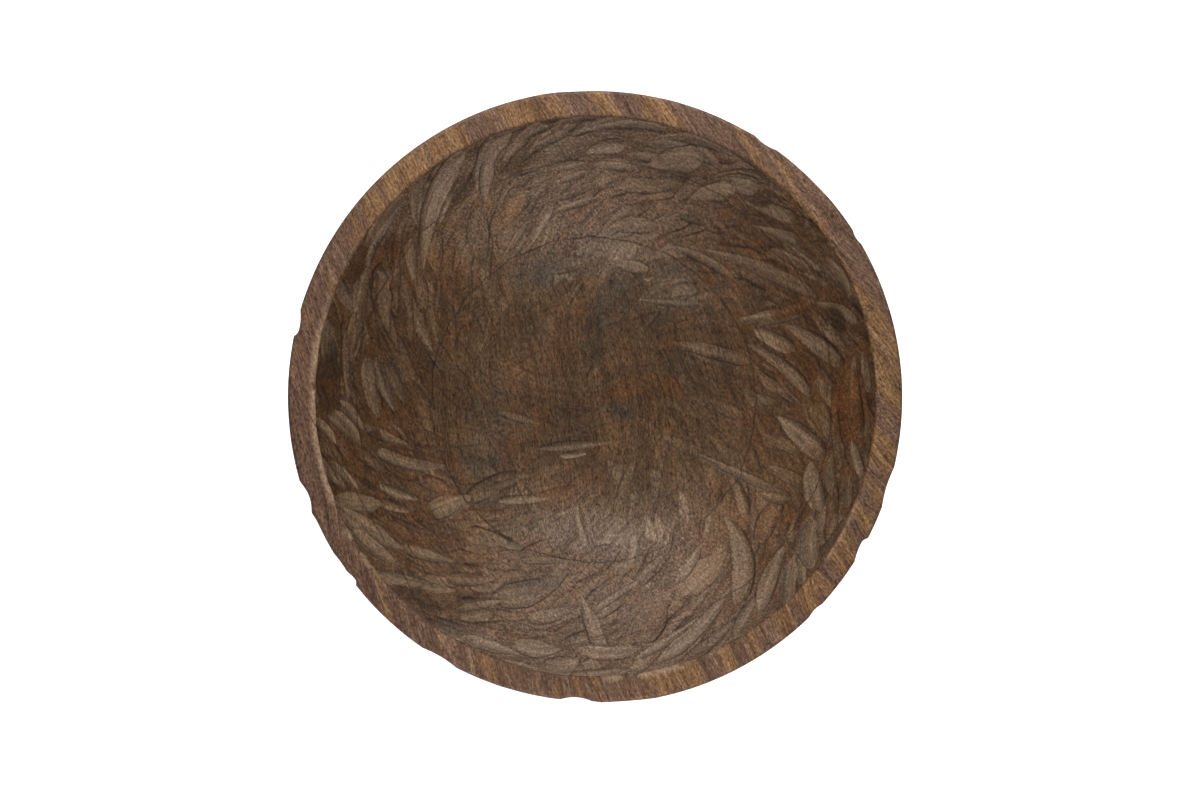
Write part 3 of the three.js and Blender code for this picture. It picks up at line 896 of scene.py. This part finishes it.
def cut_out(source, bounds, name):
    """The part of source inside a box, as a new object."""
    cutter = box_object(*bounds, name + "_cutter")
    o = source.copy()
    o.name = name
    bpy.context.scene.collection.objects.link(o)
    mod = o.modifiers.new("cut", "BOOLEAN")
    mod.operation = "INTERSECT"
    mod.solver = "MANIFOLD"
    mod.object = cutter
    depsgraph = bpy.context.evaluated_depsgraph_get()
    me = bpy.data.meshes.new_from_object(o.evaluated_get(depsgraph),
                                         preserve_all_data_layers=True, depsgraph=depsgraph)
    bpy.data.objects.remove(o)
    bpy.data.objects.remove(cutter)
    me.name = name
    return link_object(name, me)


FAR = 190.0                                        # beyond the bowl on every side
names = sorted(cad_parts)
x_spans = {n: [corner[0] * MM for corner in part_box(n)] for n in names}


def glued_sides(name):
    """x of a board's two sides, set back where another board of its layer meets them."""
    x0, x1 = x_spans[name]
    others = [x_spans[m] for m in names if m.startswith(name.split("_")[0]) and m != name]
    low = x0 + JOINT_GAP if any(abs(o[1] - x0) < .02 for o in others) else -FAR
    high = x1 - JOINT_GAP if any(abs(o[0] - x1) < .02 for o in others) else FAR
    return low, high


def cut_boards():
    skin = skin_object()
    layers = {}
    for key, z0, z1 in (("base", -5, LOW_Z - JOINT_GAP),
                        ("middle", LOW_Z + JOINT_GAP, HIGH_Z - JOINT_GAP),
                        ("rim", HIGH_Z + JOINT_GAP, HEIGHT + 5)):
        layers[key] = cut_out(skin, (-FAR, FAR, -FAR, FAR, z0, z1), "layer_" + key)
    pieces = {}
    for n in names:
        y0 = 0.0 if n.endswith("_back") else -FAR
        y1 = 0.0 if n.endswith("_front") else FAR
        bounds = (*glued_sides(n), y0, y1, -10, HEIGHT + 10)
        pieces[n] = cut_out(layers[n.split("_")[0]], bounds, n + "_wood")
    for o in [skin] + list(layers.values()):
        bpy.data.objects.remove(o)
    return pieces


pieces = cut_boards()


# ------------------------------------------------------------------ shader helper
def srgb(r, g, b, tone=1.0):
    """Linear colour from 0 to 255 values, lightened by tone."""
    out = []
    for c in (r, g, b):
        c = c * tone / 255.0
        out.append(c / 12.92 if c <= 0.04045 else ((c + 0.055) / 1.055) ** 2.4)
    return tuple(out) + (1.0,)


class Graph:
    """Short helper for wiring nodes."""

    def __init__(self, tree):
        self.tree = tree

    def node(self, kind, **props):
        n = self.tree.nodes.new(kind)
        for k, v in props.items():
            setattr(n, k, v)
        return n

    def link(self, source, target):
        self.tree.links.new(source, target)

    def put(self, socket, v):
        if isinstance(v, bpy.types.NodeSocket):
            self.link(v, socket)
        else:
            socket.default_value = v

    def math(self, op, a, b, clamp=False):
        n = self.node("ShaderNodeMath", operation=op, use_clamp=clamp)
        self.put(n.inputs[0], a)
        self.put(n.inputs[1], b)
        return n.outputs[0]

    def mul(self, a, b):
        return self.math("MULTIPLY", a, b)

    def add(self, a, b):
        return self.math("ADD", a, b)

    def inverse(self, a):
        return self.math("SUBTRACT", 1.0, a)

    def centred(self, a, gain):
        """(a - 0.5) * gain"""
        return self.mul(self.add(a, -.5), gain)

    def blend(self, *terms):
        """Sum of (value, weight) pairs."""
        total = None
        for v, weight in terms:
            part = self.mul(v, weight)
            total = part if total is None else self.add(total, part)
        return total

    def attr(self, name):
        n = self.node("ShaderNodeAttribute", attribute_name=name, attribute_type="GEOMETRY")
        return n.outputs["Fac"]

    def ease(self, v, span, result=(0.0, 1.0), kind="SMOOTHSTEP"):
        """Maps the input span to the result, easing in and out."""
        n = self.node("ShaderNodeMapRange", interpolation_type=kind)
        n.clamp = True
        for socket, x in zip(n.inputs[:5], (v, *span, *result)):
            self.put(socket, x)
        return n.outputs[0]

    def linear(self, v, span, result):
        return self.ease(v, span, result, "LINEAR")

    def stretch(self, vec, scale, offset=(0, 0, 0)):
        n = self.node("ShaderNodeVectorMath", operation="MULTIPLY_ADD")
        self.put(n.inputs[0], vec)
        n.inputs[1].default_value = scale
        n.inputs[2].default_value = offset
        return n.outputs[0]

    def noise(self, vec, scale, offset, detail, rough):
        vec = self.stretch(vec, scale, offset)
        n = self.node("ShaderNodeTexNoise", noise_dimensions="3D")
        self.put(n.inputs["Vector"], vec)
        n.inputs["Scale"].default_value = 1.0
        n.inputs["Detail"].default_value = detail
        n.inputs["Roughness"].default_value = rough
        return n.outputs["Fac"]

    def mix(self, f, a, b, blend="MIX"):
        n = self.node("ShaderNodeMix", data_type="RGBA", blend_type=blend, clamp_factor=True)
        self.put(n.inputs[0], f)
        self.put(n.inputs[6], a)
        self.put(n.inputs[7], b)
        return n.outputs[2]

    def tinted(self, colour, f, tint):
        """Multiplies a colour by a tint where f is 1."""
        return self.mix(f, colour, self.mix(1.0, colour, (*tint, 1), "MULTIPLY"))

    def ramp(self, f, stops, tone=1.0):
        """Colour ramp of (position, red, green, blue) stops."""
        n = self.node("ShaderNodeValToRGB")
        self.put(n.inputs[0], f)
        e = n.color_ramp.elements
        while len(e) > 1:
            e.remove(e[-1])
        e[0].position, e[0].color = stops[0][0], srgb(*stops[0][1:], tone)
        for pos, *colour in stops[1:]:
            e.new(pos).color = srgb(*colour, tone)
        return n.outputs[0]

    def scale_colour(self, col, f):
        n = self.node("ShaderNodeVectorMath", operation="SCALE")
        self.put(n.inputs[0], col)
        self.put(n.inputs[3], f)
        return n.outputs[0]


# ------------------------------------------------------------------ wood
# noises drawn out along the grain: scale per mm (across, along, up), detail, roughness
GRAIN_NOISES = {
    "broad": ((.075, .006, .09), 3, .55), "bands": ((.30, .012, .30), 3, .6),
    "streak": ((.95, .05, .95), 3, .65), "fibre": ((2.4, .22, 2.4), 3, .6),
    "pore": ((1.45, .22, 1.45), 2, .5), "grit": ((.95, .55, .95), 3, .75),
}
# noises of the stain, free of the grain
STAIN_NOISES = {"mottle": ((.11, .11, .11), 4, .6), "patchy": ((.035, .035, .05), 3, .55)}

MASKS = ("pale", "dark", "warm", "crest", "fib", "rimtop", "seam", "edge", "mood")

# colour stops: position, red, green, blue
STAIN_STOPS = [(.30, 50, 34, 19), (.45, 76, 55, 36), (.57, 95, 71, 49), (.72, 120, 93, 67)]
BARE_STOPS = [(.30, 66, 39, 18), (.5, 102, 66, 36), (.72, 136, 94, 58)]
COOL_STOPS = [(.3, 49, 41, 34), (.55, 77, 67, 57), (.72, 100, 88, 76)]
WASH_STOPS = [(.3, 94, 75, 56), (.5, 120, 99, 77), (.7, 152, 130, 106)]
PLAIN_RIM_STOPS = [(.34, 54, 36, 24), (.44, 86, 61, 46), (.54, 106, 80, 62), (.66, 150, 120, 97)]
GOLD_RIM_STOPS = [(.34, 58, 38, 21), (.44, 97, 69, 45), (.54, 125, 93, 62), (.68, 161, 127, 91)]


def wood_fields(g, lean, seed):
    """The noises and masks that all parts of the wood share."""
    place = g.stretch(g.node("ShaderNodeTexCoord").outputs["Object"], (MM, MM, MM))
    turned = g.node("ShaderNodeVectorRotate", rotation_type="Z_AXIS")
    g.put(turned.inputs["Vector"], place)
    turned.inputs["Angle"].default_value = math.radians(lean)
    offset = (seed * 37.1 % 91, seed * 53.3 % 83, seed * 71.7 % 67)
    # the fibres wander a little
    wander = g.noise(turned.outputs[0], (.022, .012, .03), offset, 2, .5)
    push = g.node("ShaderNodeCombineXYZ")
    g.put(push.inputs[0], g.centred(wander, 18.0))
    grain = g.node("ShaderNodeVectorMath", operation="ADD")
    g.put(grain.inputs[0], turned.outputs[0])
    g.put(grain.inputs[1], push.outputs[0])
    f = SimpleNamespace(place=place, grain=grain.outputs[0], offset=offset)
    for vector, table in ((f.grain, GRAIN_NOISES), (place, STAIN_NOISES)):
        for name, (scale, detail, rough) in table.items():
            setattr(f, name, g.noise(vector, scale, offset, detail, rough))
    f.pores = g.ease(f.pore, (.585, .66))
    for name in MASKS:
        setattr(f, name, g.attr(name))
    f.cover = g.ease(f.pale, (.06, .66))
    return f


def stain_and_painted_light_ground(g, f, tone):
    """Stain of the carved faces, with painted light and shade from the mood mask."""
    grain = g.blend((f.bands, .34), (f.streak, .36), (f.broad, .30))
    ground = g.ramp(grain, STAIN_STOPS, tone)
    bare = g.mul(g.linear(f.warm, (.10, 1.0), (0, .54)),
                 g.ease(g.blend((f.streak, .6), (f.mottle, .4)), (.36, .58), (.25, 1.0)))
    ground = g.mix(bare, ground, g.ramp(grain, BARE_STOPS))
    cool = g.mul(g.linear(f.warm, (-.05, -1.0), (0, .85)),
                 g.ease(f.mottle, (.36, .60), (.35, 1.0)))
    ground = g.mix(cool, ground, g.ramp(grain, COOL_STOPS))
    # the wall keeps more of the red-brown stain than the worn floor
    ground = g.tinted(ground, g.attr("wall"), (1.06, .97, .87))
    # it drifts redder and greyer from place to place
    drift = g.noise(f.place, (.058, .058, .058), f.offset[::-1], 3, .55)
    ground = g.tinted(ground, g.ease(drift, (.52, .64)), (1.07, .95, .88))
    ground = g.tinted(ground, g.ease(drift, (.48, .36)), (.94, .99, 1.0))
    # slow changes of stain
    ground = g.scale_colour(ground, g.linear(f.patchy, (.32, .68), (.80, 1.20)))
    # painted light and shade: lighter at front and back, darker at the sides; the shaded parts are
    # browner, without the sheen
    ground = g.scale_colour(ground, g.linear(f.mood, (-1, 1), (.53, 1.24)))
    return g.tinted(ground, g.linear(f.mood, (.3, -.8), (0, 1)), (1.02, .95, .80))


def wash_and_sheen_amount(g, f, pale_gain):
    """Cover of the pale dry-brushed wash: cut faces, ridges and a faint haze, the haze partly
    painted sheen that grows with the mood mask.
    """
    lines = g.linear(f.fib, (.2, .8), (.68, 1.20))
    broken = g.add(g.mul(f.fibre, .4), g.blend((f.mottle, .35), (f.grit, .25)))
    broken = g.linear(broken, (.38, .62), (.84, 1.10))
    faces = g.mul(g.mul(g.mul(f.cover, lines), broken), .62 * pale_gain)
    ridge = g.mul(g.ease(f.crest, (.4, 1.4), (0, .12)), g.ease(f.mottle, (.38, .62), (.25, 1.0)))
    # painted sheen: the haze is strongest where the mood mask is high
    haze = g.mul(g.add(g.ease(f.mottle, (.42, .68), (0, .06)),
                       g.linear(f.mood, (0, 1), (0, .34))),
                 g.linear(g.blend((f.grit, .5), (f.fibre, .5)), (.36, .62), (.4, 1.3)))
    haze = g.mul(haze, g.ease(f.rimtop, (0, 1), (1, 0)))
    return g.math("ADD", g.add(faces, ridge), haze, clamp=True)


def carved_colour(g, f, wash_and_sheen, tone):
    ground = stain_and_painted_light_ground(g, f, tone)
    wash_col = g.ramp(g.blend((f.streak, .5), (f.grit, .5)), WASH_STOPS)
    wash_col = g.mix(g.linear(f.warm, (.1, 1.0), (0, .5)), wash_col, srgb(134, 101, 66))
    # painted light and shade on the wash as well
    wash_col = g.scale_colour(wash_col, g.linear(f.mood, (-1, 1), (.80, 1.16)))
    # painted sheen: where the mood mask is highest, everything is greyer
    grey_sheen = g.linear(f.mood, (.05, .85), (0, 1))
    ground = g.tinted(ground, grey_sheen, (.96, .99, 1.10))
    wash_col = g.tinted(wash_col, grey_sheen, (.97, .99, 1.12))
    return g.mix(wash_and_sheen, ground, wash_col)


def rim_colour(g, f, tone, gold, pore_gain):
    """Sanded rim top: broad bands of two browns with fine dark lines."""
    grain = g.blend((f.bands, .32), (f.streak, .36), (f.fibre, .32))
    plain = g.ramp(grain, PLAIN_RIM_STOPS, tone)
    golden = g.ramp(grain, GOLD_RIM_STOPS, tone)
    offset = (f.offset[1], f.offset[2], f.offset[0])
    hue = g.noise(f.grain, (.085, .010, .05), offset, 2, .5)
    col = g.mix(g.ease(hue, (.60 - .3 * gold, .70 - .3 * gold)), plain, golden)
    col = g.scale_colour(col, g.linear(f.patchy, (.3, .7), (.88, 1.12)))
    col = g.scale_colour(col, g.linear(f.pores, (0, 1), (1.0, 1 - .42 * pore_gain)))
    # stain left along the outer edge; on the inner one painted shade, and a pale line, partly rub
    # wear and partly painted highlight
    ragged = g.add(f.edge, g.centred(g.blend((f.streak, .6), (f.mottle, .4)), .9))
    col = g.scale_colour(col, g.ease(ragged, (.70, 1.15), (1.0, .60)))
    rub_and_highlight_cover = g.mul(g.ease(f.edge, (-.40, -1.0), (0, .55)), g.attr("rub_and_highlight"))
    # painted shade: the inner rounding is darkened, where shadow falls between the rim and the wall
    col = g.scale_colour(col, g.linear(f.edge, (-.86, -1.04), (.90, .62)))
    return g.mix(rub_and_highlight_cover, col, srgb(160, 134, 108))


def wood_shade(g, f):
    """Darkening: painted shade in the creases between cuts and along their edges (the dark mask,
    which also holds stain), pores, glue lines, grit and streaks.
    """
    # painted shade in the creases and at the cuts' edges
    crease_shade = g.ease(f.crest, (-.15, -1.3), (0, .30))
    shade = g.mul(g.inverse(g.mul(f.dark, .84)), g.inverse(crease_shade))
    unwashed = g.inverse(g.mul(f.cover, .55))
    pores = g.mul(g.mul(f.pores, g.mul(unwashed, .55)), g.inverse(f.rimtop))
    shade = g.mul(shade, g.inverse(pores))
    shade = g.mul(shade, g.inverse(g.mul(f.seam, .72)))
    specks = g.mul(g.linear(f.grit, (.34, .66), (-.52, .52)), unwashed)
    shade = g.mul(shade, g.add(1.0, specks))
    return g.mul(shade, g.linear(f.fib, (.15, .85), (.83, 1.17)))


def wood(name, lean, seed, rim_tone, gold, pore_gain, ground_tone, pale_gain):
    """Stained, dry-brushed and waxed wood. lean turns the grain, in degrees off Y."""
    mat = bpy.data.materials.new(name)
    mat.use_nodes = True
    mat.node_tree.nodes.clear()
    g = Graph(mat.node_tree)
    out = g.node("ShaderNodeOutputMaterial")
    bsdf = g.node("ShaderNodeBsdfPrincipled")
    g.link(bsdf.outputs[0], out.inputs[0])
    f = wood_fields(g, lean, seed)
    # wash cover with painted sheen mixed in
    wash_and_sheen = wash_and_sheen_amount(g, f, pale_gain)
    col = g.mix(f.rimtop, carved_colour(g, f, wash_and_sheen, ground_tone),
                rim_colour(g, f, rim_tone, gold, pore_gain))
    g.put(bsdf.inputs["Base Color"], g.scale_colour(col, wood_shade(g, f)))

    # waxed sheen, duller on the wash and in the creases
    rough = g.add(g.add(g.linear(wash_and_sheen, (0, 1), (.52, .62)), g.centred(f.grit, .16)),
                  g.mul(f.dark, .12))
    rough = g.add(rough, g.centred(f.mottle, .14))
    g.put(bsdf.inputs["Roughness"], g.math("MAXIMUM", rough, .35))
    bsdf.inputs["Specular IOR Level"].default_value = .22
    bsdf.inputs["IOR"].default_value = 1.46

    # surface: fibre, pores and fine tool chatter
    bump = g.node("ShaderNodeBump")
    bump.inputs["Strength"].default_value = .8
    bump.inputs["Distance"].default_value = .00034
    g.put(bump.inputs["Height"], g.blend((f.fibre, .55), (f.streak, .35), (f.grit, .45),
                                         (f.pores, -.55), (f.fib, .30)))
    g.put(bsdf.inputs["Normal"], bump.outputs[0])
    return mat


# lean of the grain, seed, rim tone, share of golden bands, pores, ground tone, pale gain
BOARDS = {
    "base_board_left": (26, 3, 1, 0, 1, 1.0, 1.0),
    "base_board_centre": (19, 5, 1, 0, 1, 1.0, 1.0),
    "base_board_right": (8, 8, 1, 0, 1, 1.0, 1.0),
    "middle_board_far_left": (-4, 11, 1, 0, 1, .98, 1.0),
    "middle_board_left": (5, 13, 1, 0, 1, 1.02, 1.0),
    "middle_board_right": (-3, 17, 1, 0, 1, 1.03, 1.0),
    "middle_board_far_right": (6, 19, 1, 0, 1, 1.0, 1.0),
    "rim_board_far_left": (14, 23, .95, .15, 1.0, .95, .95),
    "rim_board_left": (12, 29, .98, .25, .9, .95, .95),
    "rim_board_centre_front": (8, 31, 1.0, .5, 1.0, .95, .95),
    "rim_board_centre_back": (6, 37, 1.03, .75, .7, .95, .95),
    "rim_board_right": (-7, 41, .98, .45, 1.35, .94, .95),
}

# ------------------------------------------------------------------ masks on each piece
# glue lines: height, strength in the hollow, widths in the hollow and outside
GLUE_LINES = ((LOW_Z, .62, .42, .8), (HIGH_Z, .34, .68, .85))
# stretches of the rim's inner edge painted pale, partly rub wear and partly painted highlight: gain,
# then degrees of start, full, fade, end
RUB_AND_HIGHLIGHT_SPANS = ((1, 126, 140, 178, 196), (.9, 238, 243, 262, 268), (.5, 290, 296, 306, 312))
# spots of painted light and shade, partly more or less wash rubbed on: gain, centre u, centre w,
# spread u, spread w;
# u runs to the view's right and w up it
WASH_AND_LIGHT_SPOTS = [
    (.75, 0, -118, 85, 62), (.45, 0, 126, 95, 46), (.25, 25, 55, 45, 22),
    (.78, -24, 104, 36, 36), (.35, -84, 84, 24, 24), (.50, 52, -98, 26, 24),
    (.35, 110, -72, 20, 24), (-.40, -70, -108, 18, 18), (.32, 30, 84, 42, 20),
    (-.60, -112, 8, 42, 38), (-.60, -64, -18, 18, 44), (-.82, 16, 8, 58, 58),
    (-.45, 61, 16, 16, 36), (-.25, 12, 10, 12, 30), (.35, 36, -134, 26, 18),
    (.48, 4, -72, 44, 20),
]


def seam_mask(name, x, y, z, inner):
    """Dark lines of the glued joints, uneven along their length."""
    seam = np.zeros(len(x))
    for plane, strength, width_in, width_out in GLUE_LINES:
        d = np.abs(z - plane) / np.where(inner, width_in, width_out)
        seam = np.maximum(seam, np.where(inner, strength, .45) * (1 - smooth(.15, .75, d)))
    strength = .34 if name.startswith("rim") else .06
    for plane in glued_sides(name):
        if abs(plane) < 180:
            seam = np.maximum(seam, strength * (1 - smooth(.1, .55, np.abs(x - plane))))
    seam *= 0.35 + 1.2 * vnoise(x * .11 + z * .2, y * .11, 5)
    return np.clip(seam, 0, 1)


# pale line on the rim's inner edge: partly rub wear, partly painted highlight
def rub_and_highlight_mask(x, y):
    turn = np.degrees(np.arctan2(y, x)) % 360
    rub_and_highlight = np.zeros(len(x))
    for gain, *degrees in RUB_AND_HIGHLIGHT_SPANS:
        rub_and_highlight = np.maximum(rub_and_highlight, gain * band(*degrees, turn))
    return rub_and_highlight * smooth(.30, .50, fbm(x * .12, y * .12, 19))


def wash_and_light_mask(x, y, radius):
    """Lightness of the hollow, partly wash and partly painted light: lighter and sheened at front
    and back, where the lamps stand, darker at the sides, which lie in shade.
    """
    u = x * .866 - y * .5
    w = x * .5 + y * .866
    # painted shade: the sides of the hollow, away from the lamps, are darkened
    tone = -np.where(u > 0, .62, .80) * smooth(60, 110, np.abs(u)) * np.exp(-(w / 75) ** 2)
    for gain, mid_u, mid_w, spread_u, spread_w in WASH_AND_LIGHT_SPOTS:
        tone += gain * np.exp(-(((u - mid_u) / spread_u) ** 2 + ((w - mid_w) / spread_w) ** 2))
    tone += .30 * (fbm(x * .03 + 5, y * .03 + 5, 91, 3) - .5) * 2
    # painted light: the band just below the rim is lightened
    tone += .30 * smooth(132, 144, radius)
    return np.clip(tone, -1, 1)


def paint_masks(name, me):
    co = np.zeros(len(me.vertices) * 3, np.float32)
    me.vertices.foreach_get("co", co)
    x, y, z = (co.reshape(-1, 3).astype(float) * MM).T
    piece_zone = np.zeros(len(x), np.float32)
    me.attributes["zone"].data.foreach_get("value", piece_zone)
    inner = piece_zone < .5
    radius = np.hypot(x, y)
    attribute(me, "seam", seam_mask(name, x, y, z, inner))
    # across the rim: 0 in the middle, 1 at the outer edge, -1 at the inner one
    half = RIM_W / 2
    attribute(me, "edge", np.clip((radius - (RIM_R - half)) / half, -1.2, 1.2))
    attribute(me, "rub_and_highlight", rub_and_highlight_mask(x, y))
    attribute(me, "wall", smooth(78, 104, radius) * np.where(inner, 1, .8))
    # painted light and shade of the hollow, partly wash; a little on the outside
    mood = np.where(inner, wash_and_light_mask(x, y, radius), np.where(piece_zone > 1.5, .12, 0))
    attribute(me, "mood", mood)
    me.attributes.remove(me.attributes["zone"])


for n, o in pieces.items():
    me = o.data
    paint_masks(n, me)
    me.materials.clear()
    me.materials.append(wood("wood_" + n, *BOARDS[n]))
    me.polygons.foreach_set("material_index", np.zeros(len(me.polygons), np.int32))
    me.polygons.foreach_set("use_smooth", np.ones(len(me.polygons), bool))
    me.set_sharp_from_angle(angle=math.radians(50))
    me.update()
    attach(o, "root")
    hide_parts(n)


# ------------------------------------------------------------------ floor and world, metres
def floor_material():
    mat = bpy.data.materials.new("pale_floor")
    mat.use_nodes = True
    g = Graph(mat.node_tree)
    bsdf = mat.node_tree.nodes["Principled BSDF"]
    bsdf.inputs["Base Color"].default_value = (.86, .86, .86, 1)
    bsdf.inputs["Roughness"].default_value = .9
    bsdf.inputs["Specular IOR Level"].default_value = .1
    bsdf.inputs["Emission Color"].default_value = (1, 1, 1, 1)
    # to the camera the floor glows, more so away from the bowl
    seen = g.node("ShaderNodeLightPath").outputs["Is Camera Ray"]
    away = g.node("ShaderNodeVectorMath", operation="LENGTH")
    g.put(away.inputs[0], g.node("ShaderNodeTexCoord").outputs["Object"])
    glow = g.ease(away.outputs["Value"], (.22, .75), (.64, 1.0))
    g.put(bsdf.inputs["Emission Strength"], g.mul(seen, glow))
    # from below the floor is clear, so that the foot can be looked at
    clear, either = g.node("ShaderNodeBsdfTransparent"), g.node("ShaderNodeMixShader")
    g.put(either.inputs[0], g.mul(g.node("ShaderNodeNewGeometry").outputs["Backfacing"], 1.0))
    g.link(bsdf.outputs[0], either.inputs[1])
    g.link(clear.outputs[0], either.inputs[2])
    g.link(either.outputs[0], mat.node_tree.nodes["Material Output"].inputs[0])
    return mat


def add_floor(half=4, z=-.0003):
    me = bpy.data.meshes.new("floor")
    corners = [(-half, -half, z), (half, -half, z), (half, half, z), (-half, half, z)]
    me.from_pydata(corners, [], [(0, 1, 2, 3)])
    floor = link_object("floor", me)
    me.materials.append(floor_material())


def add_world(light_strength=.14):
    """White to the camera, dim to everything else."""
    world = bpy.data.worlds.new("studio")
    bpy.context.scene.world = world
    world.use_nodes = True
    world.node_tree.nodes.clear()
    g = Graph(world.node_tree)
    out = g.node("ShaderNodeOutputWorld")
    mixer = g.node("ShaderNodeMixShader")
    g.put(mixer.inputs[0], g.node("ShaderNodeLightPath").outputs["Is Camera Ray"])
    for slot, strength in ((1, light_strength), (2, 1.0)):
        background = g.node("ShaderNodeBackground")
        background.inputs[0].default_value = (1, 1, 1, 1)
        background.inputs[1].default_value = strength
        g.link(background.outputs[0], mixer.inputs[slot])
    g.link(mixer.outputs[0], out.inputs[0])


# ------------------------------------------------------------------ lights and camera, metres
VIEW_UP = Vector((0.5, math.sqrt(3) / 2, 0))
VIEW_RIGHT = Vector((math.sqrt(3) / 2, -0.5, 0))
RIM_CENTRE = Vector((0, 0, HEIGHT / MM))


def turn_towards(o, target):
    """Points an object's -Z at the target, its X along the view's right."""
    back = (o.location - target).normalized()
    x_axis = (VIEW_RIGHT - back * VIEW_RIGHT.dot(back)).normalized()
    o.rotation_mode = "QUATERNION"
    axes = Matrix((x_axis, back.cross(x_axis), back))
    o.rotation_quaternion = axes.transposed().to_quaternion()


def softbox(name, up, right, power, height=.68, length=.95, width=.45):
    light = bpy.data.lights.new(name, "AREA")
    light.shape = "RECTANGLE"
    light.size, light.size_y = length, width
    light.energy = power
    o = link_object(name, light)
    o.location = VIEW_UP * up + VIEW_RIGHT * right + Vector((0, 0, height))
    turn_towards(o, RIM_CENTRE)
    o.visible_camera = False


def add_camera(aim_down=.00126, aim_left=.00065):
    data = bpy.data.cameras.new("camera")
    cam = link_object("camera", data)
    cam.location = Vector((CAM_XY[0] / MM, CAM_XY[1] / MM, (HEIGHT + CAM_DIST) / MM))
    turn_towards(cam, RIM_CENTRE - VIEW_UP * aim_down - VIEW_RIGHT * aim_left)
    data.sensor_width = 36.0
    data.lens = 36.0 * (cam.location - RIM_CENTRE).length / (VIEW_WIDTH / MM)
    data.clip_start, data.clip_end = .05, 20
    bpy.context.scene.camera = cam


add_floor()
add_world()
softbox("softbox_top", up=.88, right=.05, power=17.0)
softbox("softbox_bottom", up=-.88, right=-.05, power=12.0)
add_camera()
bpy.context.scene.view_settings.view_transform = "Standard"
bpy.context.scene.view_settings.look = "None"

bpy.context.view_layer.update()
